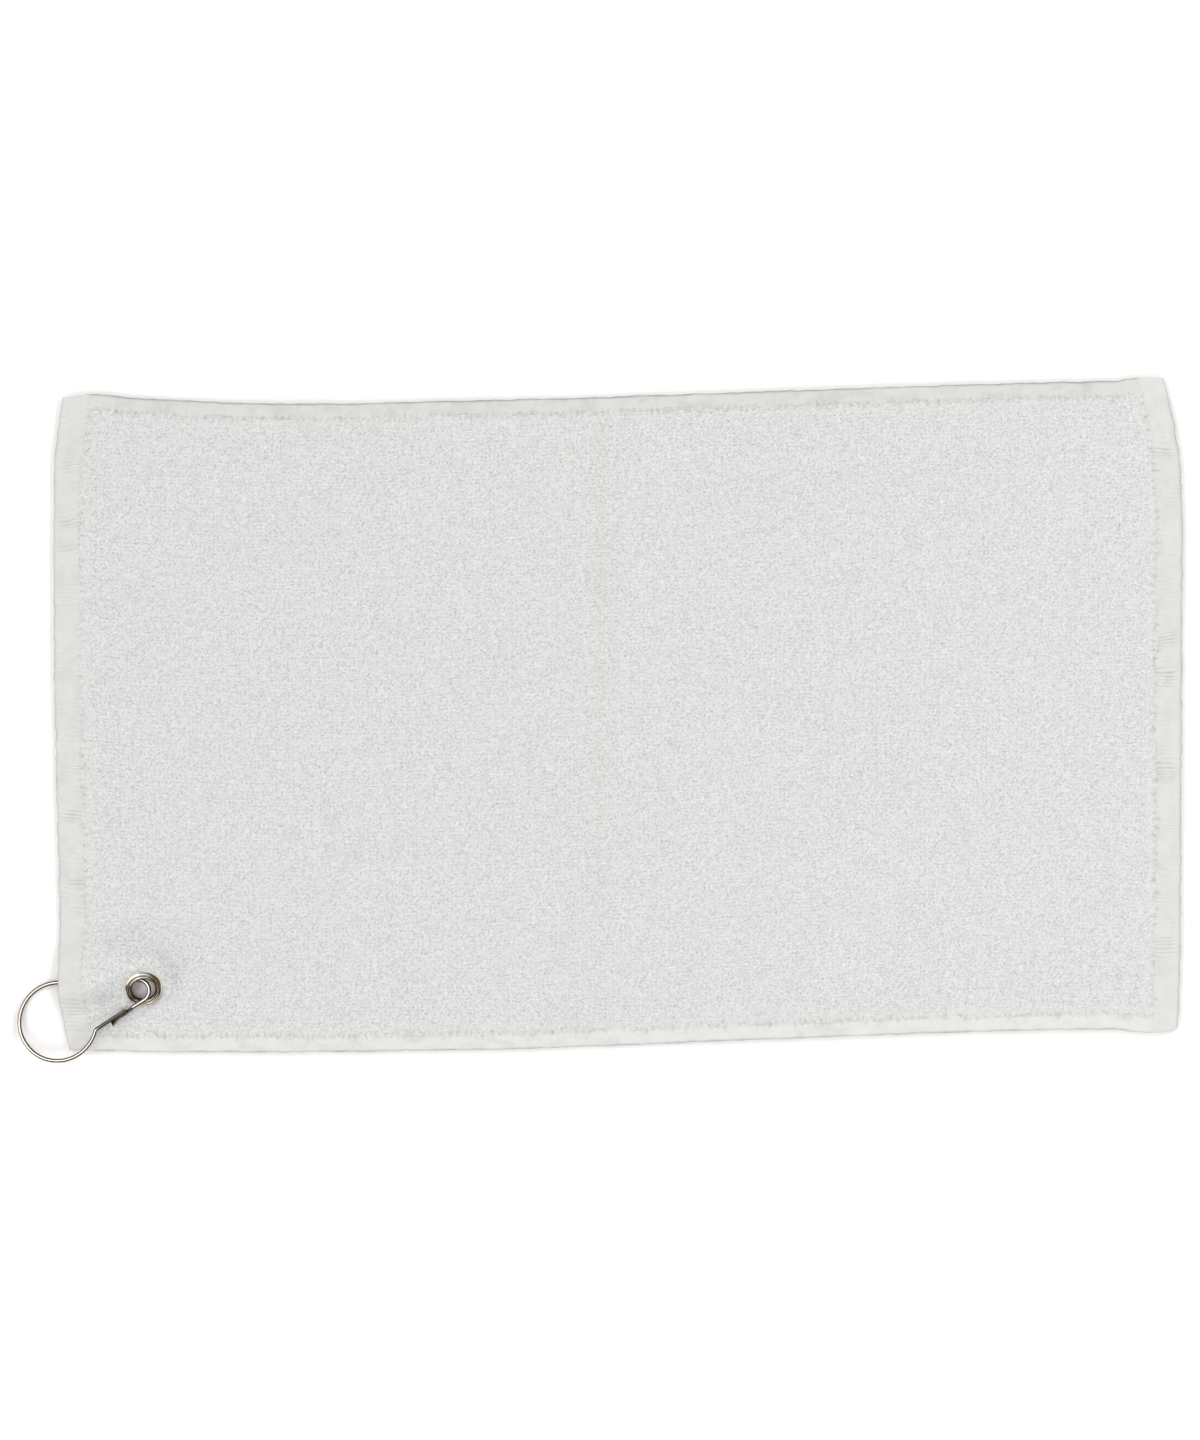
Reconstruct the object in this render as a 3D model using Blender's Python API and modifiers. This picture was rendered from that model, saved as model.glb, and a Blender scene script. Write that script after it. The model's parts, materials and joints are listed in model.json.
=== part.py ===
"""Golf towel, laid flat, with a grommet in one corner and a spring-wire clip through it.

+X runs along the towel, +Y across it and +Z up. The origin is at the middle of the underside.
Places on the cloth are given by how far they lie from the outer end (a) and from the lower side (b)
of one half of the towel, and by how far they stand off the cloth's underside (w).
"""

import math

import bmesh
import bpy
import numpy as np
from mathutils import Matrix, Vector

MM = 0.001
NAME = "golf_towel"

# Outline of the towel as it lies: points along each side, in millimetres.
TOP_SIDE = [(-230.1, 138.2), (-218, 139.4), (-193, 137.5), (-129, 135.4), (-43, 137.1), (51, 139.9),
            (129, 142.7), (188, 144.4), (221, 145.3), (228, 146.4), (241.2, 146.6)]
BOTTOM_SIDE = [(-227.1, -141.4), (-217, -141.7), (-154, -142.3), (-64, -141.4), (0, -139.7), (51, -137.5),
               (154, -133.7), (216, -132.4), (236, -133.8), (243.7, -133.6), (247.2, -132.1)]
LEFT_END = [(-227.1, -141.4), (-230, -128.6), (-231.4, -116.6), (-231.4, -94), (-233.5, 9), (-234, 81),
            (-233.4, 111), (-230.1, 138.2)]
RIGHT_END = [(247.2, -132.1), (247.9, -119.6), (248.4, -94), (249, 9), (249.4, 70), (248.1, 111),
             (245.1, 129.4), (241.2, 146.6)]
CREASE_X = 1.0
WIDTH = 279.4
HALF_LENGTH = {"left": 233.0, "right": 245.0}

# Cloth.
TERRY_THICK = 2.6
END_HEM = 12.0
SIDE_HEM = 7.3
HEM_FROM, HEM_TO = 0.7, 1.9
GAP = 0.3
FINE_TO, FINE_STEP, COARSE_STEP = 84.0, 5.2, 39.0

# Sewing threads: one above and one below each hem.
THREAD_R = 0.18
SEAM_IN = 0.9
NEEDLE_THREAD_W = HEM_TO + GAP + THREAD_R
BOBBIN_THREAD_W = THREAD_R + 0.03
THREAD_STOP = 1.5

# Clip: a pear-shaped spring wire. u runs along it from the big loop's centre to the small loop, v across it.
CLIP_CENTRE = (-231.8, -129.0)
CLIP_TURN = math.radians(19.7)
CLIP_HEIGHT = 3.32
CLIP_PITCH = math.radians(1.9)
CLIP_TILT = math.radians(8.0)
WIRE_R = 0.87
LOOP_R = 16.7
NECK = (13.9, 8.85)
NECK_ROUND = 1.1
SMALL_LOOP = (36.9, 0.9, 4.75)
GATE_TIP = (28.7, 5.3)
CATCH_START = (32.4, -4.95)
CATCH_LENGTH = 8.9
CATCH_LIP = 1.45
CATCH_HALF_THICK = 0.25
CATCH_FLARE = 1.3
JOINT_SPLIT = 0.5

# Grommet, standing at right angles to its own stretch of cloth.
GROMMET_UV = (39.4, 0.9)
GROMMET_TILT = math.radians(25.0)
THROAT_R = 4.9
SHEET = 0.4
CLOTH_IN_GROMMET = 0.6
RECESS_R = 8.5
EYELET_PROFILE = [(5.9, -0.9), (5.45, -0.9), (5.15, -0.62), (5.1, -0.3), (5.1, 0.4), (5.3, 0.72), (5.8, 0.9),
                  (6.7, 0.9), (7.5, 0.84), (7.9, 0.8)]
WASHER_PROFILE = [(6.4, -0.88), (7.2, -0.9), (7.9, -0.84)]
TURN_STEPS = 36

# Cloth lifted by the wire that runs under it: a hump beside the grommet.
HUMP = 8.25
HUMP_UV = (30.0, 12.0)
HUMP_REACH_U, HUMP_REACH_ABOVE, HUMP_REACH_BELOW = 45.0, 25.0, 15.6
FLAT_SPOT_IN, FLAT_SPOT_OUT = 9.0, 17.0

WHITE_TERRY = (0.76, 0.76, 0.78, 1)
CREAM_HEM = (0.75, 0.74, 0.70, 1)
CREAM_THREAD = (0.80, 0.79, 0.74, 1)
NICKEL = (0.72, 0.68, 0.62, 1)


# Curves and heights.

def curve_through(points):
    """A function y(x) that runs smoothly through the points without overshooting them."""
    x, y = (np.array(values, float) for values in zip(*points))
    run, rise = np.diff(x), np.diff(y)
    slope = rise / run
    tangent = np.concatenate([slope[:1], np.zeros(len(x) - 2), slope[-1:]])
    same_way = slope[:-1] * slope[1:] > 0
    inner = 2 * slope[:-1] * slope[1:] / np.where(same_way, slope[:-1] + slope[1:], 1)
    tangent[1:-1] = np.where(same_way, inner, 0)

    def value(at):
        i = int(np.clip(np.searchsorted(x, at) - 1, 0, len(run) - 1))
        t = (at - x[i]) / run[i]
        start = y[i] * (1 + 2 * t) * (1 - t) ** 2 + run[i] * tangent[i] * t * (1 - t) ** 2
        end = y[i + 1] * t * t * (3 - 2 * t) - run[i] * tangent[i + 1] * t * t * (1 - t)
        return float(start + end)

    return value


TOP_Y = curve_through(TOP_SIDE)
BOTTOM_Y = curve_through(BOTTOM_SIDE)
END_X = {
    "left": curve_through([(y, x) for x, y in LEFT_END]),
    "right": curve_through([(y, x) for x, y in RIGHT_END]),
}
CORNER_X = {
    "left": (BOTTOM_SIDE[0][0], TOP_SIDE[0][0]),
    "right": (BOTTOM_SIDE[-1][0], TOP_SIDE[-1][0]),
}


def smooth(t):
    t = min(max(t, 0.0), 1.0)
    return t * t * (3 - 2 * t)


def cloth_xy(half, a, b):
    """The place, in millimetres, a from the half's outer end and b from the lower side."""
    s, t = a / HALF_LENGTH[half], b / WIDTH
    low_x, high_x = CORNER_X[half]
    corner = {}
    for name, x, side_y in (("low", low_x, BOTTOM_Y), ("high", high_x, TOP_Y)):
        places = (x, x + (CREASE_X - x) * s, CREASE_X)
        corner[name] = [Vector((place, side_y(place))) for place in places]
    (low_end, low, low_crease), (high_end, high, high_crease) = corner["low"], corner["high"]
    end_y = low_end.y + (high_end.y - low_end.y) * t
    end = Vector((END_X[half](end_y), end_y))
    crease = low_crease.lerp(high_crease, t)
    straight = low_end.lerp(high_end, t).lerp(crease, s)
    return low.lerp(high, t) + end.lerp(crease, s) - straight


def clip_uv(x, y):
    """A place seen from the clip, along it and across it."""
    dx, dy = x - CLIP_CENTRE[0], y - CLIP_CENTRE[1]
    cos, sin = math.cos(CLIP_TURN), math.sin(CLIP_TURN)
    return dx * cos + dy * sin, dy * cos - dx * sin


def cloth_height(x, y):
    """How high the cloth's underside stands at a place. It is flat on the table except beside the clip."""
    u, v = clip_uv(x, y)
    du, dv = (u - HUMP_UV[0]) / HUMP_REACH_U, v - HUMP_UV[1]
    dv /= HUMP_REACH_ABOVE if dv > 0 else HUMP_REACH_BELOW
    hump = HUMP * max(0.0, 1 - du * du - dv * dv) ** 3
    from_u, from_v = u - GROMMET_UV[0], v - GROMMET_UV[1]
    middle = CLIP_HEIGHT + u * math.tan(CLIP_PITCH) + from_v * math.tan(GROMMET_TILT)
    spot = middle - TERRY_THICK / 2 / math.cos(GROMMET_TILT)
    near = 1 - smooth((math.hypot(from_u, from_v) - FLAT_SPOT_IN) / (FLAT_SPOT_OUT - FLAT_SPOT_IN))
    return max(0.0, near * spot + (1 - near) * hump)


def cloth_point(half, a, b, w):
    """The place in metres that stands w millimetres off the underside."""
    x, y = cloth_xy(half, a, b)
    step = 0.5
    across = (cloth_height(x + step, y) - cloth_height(x - step, y)) / (2 * step)
    along = (cloth_height(x, y + step) - cloth_height(x, y - step)) / (2 * step)
    normal = Vector((-across, -along, 1)).normalized()
    return (Vector((x, y, cloth_height(x, y))) + normal * w) * MM


def stations(start, stop, fine):
    """Distances from start to stop, close together only where the cloth is lifted."""
    break_at = min(max(FINE_TO, start), stop) if fine else start
    found = [start]
    for end, step in ((break_at, FINE_STEP), (stop, COARSE_STEP)):
        count = math.ceil((end - found[-1]) / step - 1e-9)
        begin = found[-1]
        found += [begin + (end - begin) * (i + 1) / count for i in range(count)]
    return found


# Objects.

def make_material(name, colour, roughness, metallic):
    material = bpy.data.materials.new(name)
    material.use_nodes = True
    shader = material.node_tree.nodes["Principled BSDF"]
    shader.inputs["Base Color"].default_value = colour
    shader.inputs["Roughness"].default_value = roughness
    shader.inputs["Metallic"].default_value = metallic
    return material


def add_object(name, data, collection, finish):
    obj = bpy.data.objects.new(name, data)
    collection.objects.link(obj)
    data.materials.append(make_material(name, *finish))
    return obj


def add_empty(name, matrix, collection):
    empty = bpy.data.objects.new(name, None)
    empty.empty_display_size = 0.02
    empty.matrix_world = matrix
    collection.objects.link(empty)
    return empty


def hang_on(obj, empty):
    obj.parent = empty
    obj.matrix_parent_inverse = empty.matrix_world.inverted()


def cloth_strip(name, half, a_at, b_at, w_from, w_to, collection, finish):
    """A layer of cloth over a patch of one half."""
    bm = bmesh.new()
    columns, rows = len(a_at) - 1, len(b_at) - 1
    bmesh.ops.create_grid(bm, x_segments=columns, y_segments=rows, size=1.0)
    for vertex in bm.verts:
        i = round((vertex.co.x + 1) / 2 * columns)
        j = round((vertex.co.y + 1) / 2 * rows)
        vertex.co = cloth_point(half, a_at[i], b_at[j], w_from)
    if half == "right":
        bmesh.ops.reverse_faces(bm, faces=bm.faces)
    mesh = bpy.data.meshes.new(name)
    bm.to_mesh(mesh)
    bm.free()
    obj = add_object(name, mesh, collection, finish)
    shell = obj.modifiers.new("thickness", "SOLIDIFY")
    shell.thickness = (w_to - w_from) * MM
    shell.offset = 1.0
    return obj


def thread(name, half, places, w, collection, finish):
    """A sewing thread along places given as (a, b)."""
    data = bpy.data.curves.new(name, "CURVE")
    data.dimensions = "3D"
    data.bevel_depth = THREAD_R * MM
    data.bevel_resolution = 1
    data.use_fill_caps = True
    spline = data.splines.new("POLY")
    spline.points.add(len(places) - 1)
    for point, (a, b) in zip(spline.points, places, strict=True):
        point.co = (*cloth_point(half, a, b, w), 1)
    return add_object(name, data, collection, finish)


def turned_sheet(name, profile, matrix, collection, finish):
    """A ring of sheet metal whose middle line, in millimetres, is turned about its own Z axis."""
    mesh = bpy.data.meshes.new(name)
    points = [(r * MM, 0, z * MM) for r, z in profile]
    mesh.from_pydata(points, [(i, i + 1) for i in range(len(points) - 1)], [])
    obj = add_object(name, mesh, collection, finish)
    obj.matrix_world = matrix
    turn = obj.modifiers.new("turn", "SCREW")
    turn.steps = turn.render_steps = TURN_STEPS
    turn.use_merge_vertices = True
    turn.merge_threshold = 0.00001
    shell = obj.modifiers.new("sheet", "SOLIDIFY")
    shell.thickness = SHEET * MM
    shell.offset = 0.0
    return obj


def cut_cylinder(target, name, radius, z_from, z_to, matrix, collection):
    bm = bmesh.new()
    middle = Matrix.Translation((0, 0, (z_from + z_to) / 2 * MM))
    bmesh.ops.create_cone(bm, cap_ends=True, segments=TURN_STEPS, radius1=radius * MM, radius2=radius * MM,
                          depth=(z_to - z_from) * MM, matrix=middle)
    mesh = bpy.data.meshes.new(name)
    bm.to_mesh(mesh)
    bm.free()
    cutter = bpy.data.objects.new(name, mesh)
    collection.objects.link(cutter)
    cutter.matrix_world = matrix
    cutter.hide_render = True
    cutter.display_type = "WIRE"
    cut = target.modifiers.new(name, "BOOLEAN")
    cut.operation = "DIFFERENCE"
    cut.solver = "EXACT"
    cut.object = cutter


# Clip.

def clip_matrix():
    """The clip's own frame: X along it, Y towards the side that runs under the cloth, Z out of its plane."""
    turn = Matrix.Rotation(CLIP_TURN, 4, "Z")
    pitch = Matrix.Rotation(-CLIP_PITCH, 4, "Y")
    tilt = Matrix.Rotation(-CLIP_TILT, 4, "X")
    return Matrix.Translation(Vector((*CLIP_CENTRE, CLIP_HEIGHT)) * MM) @ turn @ pitch @ tilt


def grommet_matrix():
    u, v = GROMMET_UV
    centre = clip_matrix() @ (Vector((u, 0, 0)) * MM)
    across = Matrix.Rotation(CLIP_TURN, 4, "Z")
    centre += across.to_3x3() @ (Vector((0, v, 0)) * MM)
    pitch = Matrix.Rotation(-CLIP_PITCH, 4, "Y")
    return Matrix.Translation(centre) @ across @ pitch @ Matrix.Rotation(GROMMET_TILT, 4, "X")


def arc(centre, radius, start, stop, step):
    """Points round an arc, in degrees, turning either way."""
    count = max(1, round(abs(stop - start) / step))
    angles = [math.radians(start + (stop - start) * i / count) for i in range(count + 1)]
    return [(centre[0] + radius * math.cos(t), centre[1] + radius * math.sin(t)) for t in angles]


def bend(before, corner, after, count):
    """Points round a bend from before to after, without those two."""
    found = []
    for i in range(1, count):
        t = i / count
        found.append(tuple(p * (1 - t) ** 2 + 2 * q * t * (1 - t) + r * t * t
                           for p, q, r in zip(before, corner, after, strict=True)))
    return found


def towards(start, end, distance):
    length = math.dist(start, end)
    return tuple(p + (q - p) * distance / length for p, q in zip(start, end, strict=True))


def big_loop_side(next_point):
    """One side of the big loop, from its far end to just past the neck, on the side where v is positive."""
    split = math.degrees(JOINT_SPLIT / 2 / LOOP_R)
    neck_angle = math.degrees(math.atan2(NECK[1], NECK[0]) + NECK_ROUND / LOOP_R)
    round_part = arc((0, 0), LOOP_R, 180 - split, neck_angle, 7)
    after = towards(NECK, next_point, NECK_ROUND)
    return round_part + bend(round_part[-1], NECK, after, 4) + [after]


def touch_angle(point, circle, side):
    """The angle, in degrees, at which a line from the point touches the circle."""
    u, v, radius = circle
    away = math.atan2(point[1] - v, point[0] - u)
    return math.degrees(away + side * math.acos(radius / math.dist(point, (u, v))))


def fixed_side_path():
    """The wire from the far end of the big loop, under the cloth, round the small loop, to the catch."""
    u, v, radius = SMALL_LOOP
    first = touch_angle(NECK, SMALL_LOOP, -1)
    last = touch_angle(CATCH_START, SMALL_LOOP, 1)
    small = arc((u, v), radius, first, last, 13)
    return big_loop_side(small[0]) + small + [CATCH_START]


def gate_path():
    return [(u, -v) for u, v in big_loop_side(GATE_TIP)] + [(GATE_TIP[0], -GATE_TIP[1])]


def catch_outline(flare):
    """The J-shaped strip around the gate wire, as (out from the clip, up) points round its edge."""
    low = CATCH_LIP + 0.05
    middle = [(CATCH_LIP, -0.2), (CATCH_LIP, -0.65), (1.25, -1.1), (0.85, -1.38), (0.3, -low), (-0.25, -low)]
    middle = [(p + flare * max(0.0, q + low) / low, q) for p, q in middle]
    outer, inner = [], []
    for i, (p, q) in enumerate(middle):
        before, after = middle[max(i - 1, 0)], middle[min(i + 1, len(middle) - 1)]
        along = Vector(after) - Vector(before)
        along.normalize()
        out = Vector((-along.y, along.x)) * CATCH_HALF_THICK
        outer.append((p + out.x, q + out.y))
        inner.append((p - out.x, q - out.y))
    return outer + inner[::-1]


def wire_outline():
    """The round wire with as many points as the strip, starting on the same side."""
    angles = [math.radians(15 - 30 * i) for i in range(12)]
    return [(WIRE_R * math.cos(t), WIRE_R * math.sin(t)) for t in angles]


def ring(centre, ahead, outline):
    """An outline set square to the path, in the clip's frame. It starts on the path's right."""
    right = Vector((ahead.y, -ahead.x, 0))
    return [Vector((*centre, 0)) + right * p + Vector((0, 0, q)) for p, q in outline]


def loft(name, rings, matrix, collection, finish):
    """Closed skin over rings of equal numbers of points, in millimetres."""
    bm = bmesh.new()
    rows = [[bm.verts.new(point * MM) for point in points] for points in rings]
    count = len(rings[0])
    for one, two in zip(rows[:-1], rows[1:], strict=True):
        for i in range(count):
            j = (i + 1) % count
            bm.faces.new((one[i], one[j], two[j], two[i]))
    bm.faces.new(rows[0][::-1])
    bm.faces.new(rows[-1])
    bmesh.ops.recalc_face_normals(bm, faces=bm.faces)
    mesh = bpy.data.meshes.new(name)
    bm.to_mesh(mesh)
    bm.free()
    mesh.shade_smooth()
    obj = add_object(name, mesh, collection, finish)
    obj.matrix_world = matrix
    return obj


def fixed_side_rings():
    path = [Vector(p) for p in fixed_side_path()]
    gate_end = Vector((GATE_TIP[0], -GATE_TIP[1]))
    back = (Vector((NECK[0], -NECK[1])) - gate_end).normalized()
    rings = []
    for i, point in enumerate(path[:-1]):
        ahead = (path[i + 1] - path[max(i - 1, 0)]).normalized()
        rings.append(ring(point, ahead, [(-p, q) for p, q in wire_outline()]))
    # From here the wire is flattened, step by step, into the strip that the gate lies in.
    start = path[-1]
    strip = gate_end - back * 1.1
    steps = [(0.0, 0.0, 0.0), (0.3, 0.3, 0.0), (0.65, 0.7, 0.0), (1.0, 1.0, 0.0)]
    round_wire = wire_outline()
    for along, share, flare in steps:
        pairs = zip(round_wire, catch_outline(flare), strict=True)
        outline = [Vector(a).lerp(Vector(b), share) for a, b in pairs]
        rings.append(ring(start.lerp(strip, along), back, [(-p, q) for p, q in outline]))
    for along, flare in ((0.3, 0.0), (0.6, 0.0), (0.82, 0.0), (0.92, 0.45), (1.0, 1.0)):
        centre = strip + back * along * CATCH_LENGTH
        rings.append(ring(centre, back, [(-p, q) for p, q in catch_outline(flare * CATCH_FLARE)]))
    return rings


def gate_rings():
    path = [Vector(p) for p in gate_path()]
    rings = []
    for i, point in enumerate(path):
        ahead = (path[min(i + 1, len(path) - 1)] - path[max(i - 1, 0)]).normalized()
        rings.append(ring(point, ahead, wire_outline()))
    # The tip is rounded off.
    for along, share in ((0.35, 0.85), (0.6, 0.5)):
        outline = [(p * share, q * share) for p, q in wire_outline()]
        rings.append(ring(path[-1] + ahead * along, ahead, outline))
    return rings


# Assembly.

def build_half(half, parts, finishes):
    """The cloth, hems and threads of one half. Pieces that meet share their stations along the seam."""
    lifted = half == "left"
    crease = HALF_LENGTH[half] - GAP / 2
    low, high = SIDE_HEM + GAP, WIDTH - SIDE_HEM - GAP
    along = stations(END_HEM + GAP, crease, lifted)
    across = stations(low, high, lifted)
    seam_a = END_HEM - SEAM_IN
    hem_columns = [0, seam_a / 2, seam_a, END_HEM] if lifted else [0, END_HEM]
    hem_rows = [0, SIDE_HEM, *across, WIDTH - SIDE_HEM, WIDTH]
    made = [cloth_strip(f"terry_{half}", half, along, across, 0, TERRY_THICK, parts, finishes["terry"])]
    hems = {
        "end_hem": (hem_columns, hem_rows),
        "side_hem_bottom": (along, [0, SIDE_HEM]),
        "side_hem_top": (along, [WIDTH - SIDE_HEM, WIDTH]),
    }
    for name, (columns, rows) in hems.items():
        strip = cloth_strip(f"{name}_{half}", half, columns, rows, HEM_FROM, HEM_TO, parts, finishes["hem"])
        made.append(strip)
    seams = {
        "end": [(seam_a, b) for b in (THREAD_STOP, *hem_rows[1:-1], WIDTH - THREAD_STOP)],
        "bottom": [(a, SIDE_HEM - SEAM_IN) for a in along],
        "top": [(a, WIDTH - SIDE_HEM + SEAM_IN) for a in along],
    }
    for side, places in seams.items():
        for kind, w in (("needle", NEEDLE_THREAD_W), ("bobbin", BOBBIN_THREAD_W)):
            made.append(thread(f"{kind}_thread_{side}_{half}", half, places, w, parts, finishes["thread"]))
    return made


def build_grommet(terry, parts, cutters, finish):
    matrix = grommet_matrix()
    turned_sheet("grommet_eyelet", EYELET_PROFILE, matrix, parts, finish)
    turned_sheet("grommet_washer", WASHER_PROFILE, matrix, parts, finish)
    reach = 7.0
    half_cloth = CLOTH_IN_GROMMET / 2
    cut_cylinder(terry, "recess_above", RECESS_R, half_cloth, reach, matrix, cutters)
    cut_cylinder(terry, "recess_below", RECESS_R, -reach, -half_cloth, matrix, cutters)
    cut_cylinder(terry, "hole", THROAT_R + SHEET + GAP, -reach, reach, matrix, cutters)


def build_clip(parts, finish):
    matrix = clip_matrix()
    wire = loft("clip_wire", fixed_side_rings(), matrix, parts, finish)
    gate = loft("gate_arm", gate_rings(), matrix, parts, finish)
    roll_place = Matrix.Translation((GROMMET_UV[0] * MM, 0, 0))
    gate_place = Matrix.Translation((-LOOP_R * MM, 0, 0))
    roll_axis = add_empty("clip_roll_axis", matrix @ roll_place, parts)
    gate_axis = add_empty("gate_flex_axis", matrix @ gate_place, parts)
    hang_on(gate_axis, roll_axis)
    bpy.context.view_layer.update()
    hang_on(wire, roll_axis)
    hang_on(gate, gate_axis)


def main():
    for obj in list(bpy.data.objects):
        bpy.data.objects.remove(obj)
    parts = bpy.data.collections.new(NAME)
    cutters = bpy.data.collections.new(NAME + "_cutters")
    for collection in (parts, cutters):
        bpy.context.scene.collection.children.link(collection)
    finishes = {
        "terry": (WHITE_TERRY, 0.95, 0.0),
        "hem": (CREAM_HEM, 0.9, 0.0),
        "thread": (CREAM_THREAD, 0.8, 0.0),
        "nickel": (NICKEL, 0.2, 1.0),
    }
    left = build_half("left", parts, finishes)
    right = build_half("right", parts, finishes)
    fold_place = Matrix.Translation((CREASE_X * MM, 0, (TERRY_THICK + GAP) * MM))
    fold_axis = add_empty("towel_fold_axis", fold_place, parts)
    bpy.context.view_layer.update()
    for obj in right:
        hang_on(obj, fold_axis)
    build_grommet(left[0], parts, cutters, finishes["nickel"])
    build_clip(parts, finishes["nickel"])


main()
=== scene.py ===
"""Looks of the golf towel: looped terry with sewn hems, a nickel grommet and a spring-wire clip.

The shape functions work in millimetres, and points become metres where a mesh is made.
A place on the cloth is given by s, how far it lies along the towel from the crease (negative on the
left), by b, how far it lies from the lower side, and by w, how high it stands off the cloth's underside.
"""

import json
import math

import bmesh
import bpy
import numpy as np
from mathutils import Matrix, Vector


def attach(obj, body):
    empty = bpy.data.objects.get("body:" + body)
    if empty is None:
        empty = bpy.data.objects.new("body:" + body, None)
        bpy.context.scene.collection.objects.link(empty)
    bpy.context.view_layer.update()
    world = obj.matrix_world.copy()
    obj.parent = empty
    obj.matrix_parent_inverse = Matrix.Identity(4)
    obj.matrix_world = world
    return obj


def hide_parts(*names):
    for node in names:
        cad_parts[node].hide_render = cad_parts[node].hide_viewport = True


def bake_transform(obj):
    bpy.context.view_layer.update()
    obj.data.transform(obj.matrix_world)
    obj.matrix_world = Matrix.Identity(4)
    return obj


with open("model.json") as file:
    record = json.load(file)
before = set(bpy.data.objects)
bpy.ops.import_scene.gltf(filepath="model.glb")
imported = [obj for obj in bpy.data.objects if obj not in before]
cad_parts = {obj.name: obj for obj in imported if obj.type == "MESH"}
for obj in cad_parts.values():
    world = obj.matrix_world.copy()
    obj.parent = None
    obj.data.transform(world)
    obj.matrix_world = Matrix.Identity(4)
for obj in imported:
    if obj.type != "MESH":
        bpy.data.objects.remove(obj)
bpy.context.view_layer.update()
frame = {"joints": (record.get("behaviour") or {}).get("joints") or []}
JOINTS = {joint["name"]: joint for joint in frame["joints"]}

MM = 0.001

# The cloth's outline as it lies, as in the CAD.
TOP_SIDE = [(-230.1, 138.2), (-218, 139.4), (-193, 137.5), (-129, 135.4), (-43, 137.1), (51, 139.9),
            (129, 142.7), (188, 144.4), (221, 145.3), (228, 146.4), (241.2, 146.6)]
BOTTOM_SIDE = [(-227.1, -141.4), (-217, -141.7), (-154, -142.3), (-64, -141.4), (0, -139.7), (51, -137.5),
               (154, -133.7), (216, -132.4), (236, -133.8), (243.7, -133.6), (247.2, -132.1)]
LEFT_END = [(-227.1, -141.4), (-230, -128.6), (-231.4, -116.6), (-231.4, -94), (-233.5, 9), (-234, 81),
            (-233.4, 111), (-230.1, 138.2)]
RIGHT_END = [(247.2, -132.1), (247.9, -119.6), (248.4, -94), (249, 9), (249.4, 70), (248.1, 111),
             (245.1, 129.4), (241.2, 146.6)]
CREASE_X = JOINTS["towel_fold"]["pos_m"][0] / MM
WIDTH = 279.4
LEFT_LENGTH, RIGHT_LENGTH = 233.0, 245.0
END_HEM = 12.0
SIDE_HEM = 7.3
FOLD_REACH = 3.6
INNER_S = END_HEM - LEFT_LENGTH, RIGHT_LENGTH - END_HEM
INNER_B = SIDE_HEM, WIDTH - SIDE_HEM

# The clip and the grommet, as in the CAD.
CLIP_CENTRE = (-231.8, -129.0)
CLIP_TURN = math.radians(19.7)
CLIP_HEIGHT = 3.32
CLIP_PITCH = math.radians(1.9)
CLIP_TILT = math.radians(8.0)
WIRE_R = 0.87
LOOP_R = 16.7
NECK = (13.9, 8.85)
NECK_ROUND = 1.1
SMALL_LOOP = (36.9, 0.9, 4.75)
GATE_TIP = (28.7, 5.3)
CATCH_START = (32.4, -4.95)
CATCH_LENGTH = 8.9
CATCH_LIP = 1.45
CATCH_HALF_THICK = 0.25
CATCH_FLARE = 1.3
GROMMET_UV = (39.4, 0.9)
GROMMET_TILT = math.radians(25.0)
TERRY_THICK = 2.6
HUMP = 8.25
HUMP_UV = (30.0, 12.0)
HUMP_REACH_U, HUMP_REACH_ABOVE, HUMP_REACH_BELOW = 45.0, 25.0, 15.6
FLAT_SPOT_IN, FLAT_SPOT_OUT = 9.0, 17.0

# Pile.
PILE_STEP = 0.64
PILE_FOOT, PILE_TOP = 1.86, 2.62
PILE_HANG, PILE_LOWEST = 0.74, 0.03
PILE_BANK = 1.6
PILE_LAP = 1.7
PILE_OVER = 2.4
STRAY_LEFT, STRAY_RIGHT, STRAY_BOTTOM, STRAY_TOP = 108, 138, 158, 178
BULGE, BULGE_DOWN, BULGE_HALF = 2.0, 17, 12
PILE_FROM_S, PILE_FROM_B = END_HEM - PILE_OVER - LEFT_LENGTH, SIDE_HEM - PILE_OVER
CLOTH_MIDDLE = 1.3
GROUND_HALF, GROUND_HELD_HALF = 0.2, 0.12
LOOP_PITCH_S, LOOP_PITCH_B = 0.93, 1.64
LOOP_STRAY_S, LOOP_STRAY_B, LOOP_LEAN = 0.25, 0.32, 0.8
LOOP_LENGTH, LOOP_WIDTH, LOOP_TOP = (0.62, 0.92), (0.46, 0.66), (0.55, 1.0)
LOOP_REACH = 1.25
ODD_COLUMNS = 0.85
TILE_FACES = 97000

# Soft unevenness of the cloth as it lies: place, half length, half width, turn in degrees and height.
RIPPLES = [(78, 66, 58, 9, 4, 1.0), (66, 84, 40, 7, -3, 0.8), (120, 112, 90, 8, 3, 0.9),
           (40, 118, 34, 7, -6, 0.7), (150, 60, 40, 16, 10, 0.7), (-110, 40, 90, 22, 4, 0.6),
           (-60, -40, 80, 26, -6, 0.7), (150, -70, 70, 24, 5, 0.6), (-160, 100, 50, 18, 0, 0.5),
           (196, 20, 30, 50, 8, 0.5)]
RIPPLE_FALL = 1.2
UNEVEN, UNEVEN_CELL = 0.35, 31
FLAT_BY_CREASE, CREASE_OVER = 6, 24
CLIP_MIDDLE_U, FLAT_BY_CLIP, CLIP_OVER = 24, 44, 34


# Numbers.

NOISE_CELLS = 512


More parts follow.
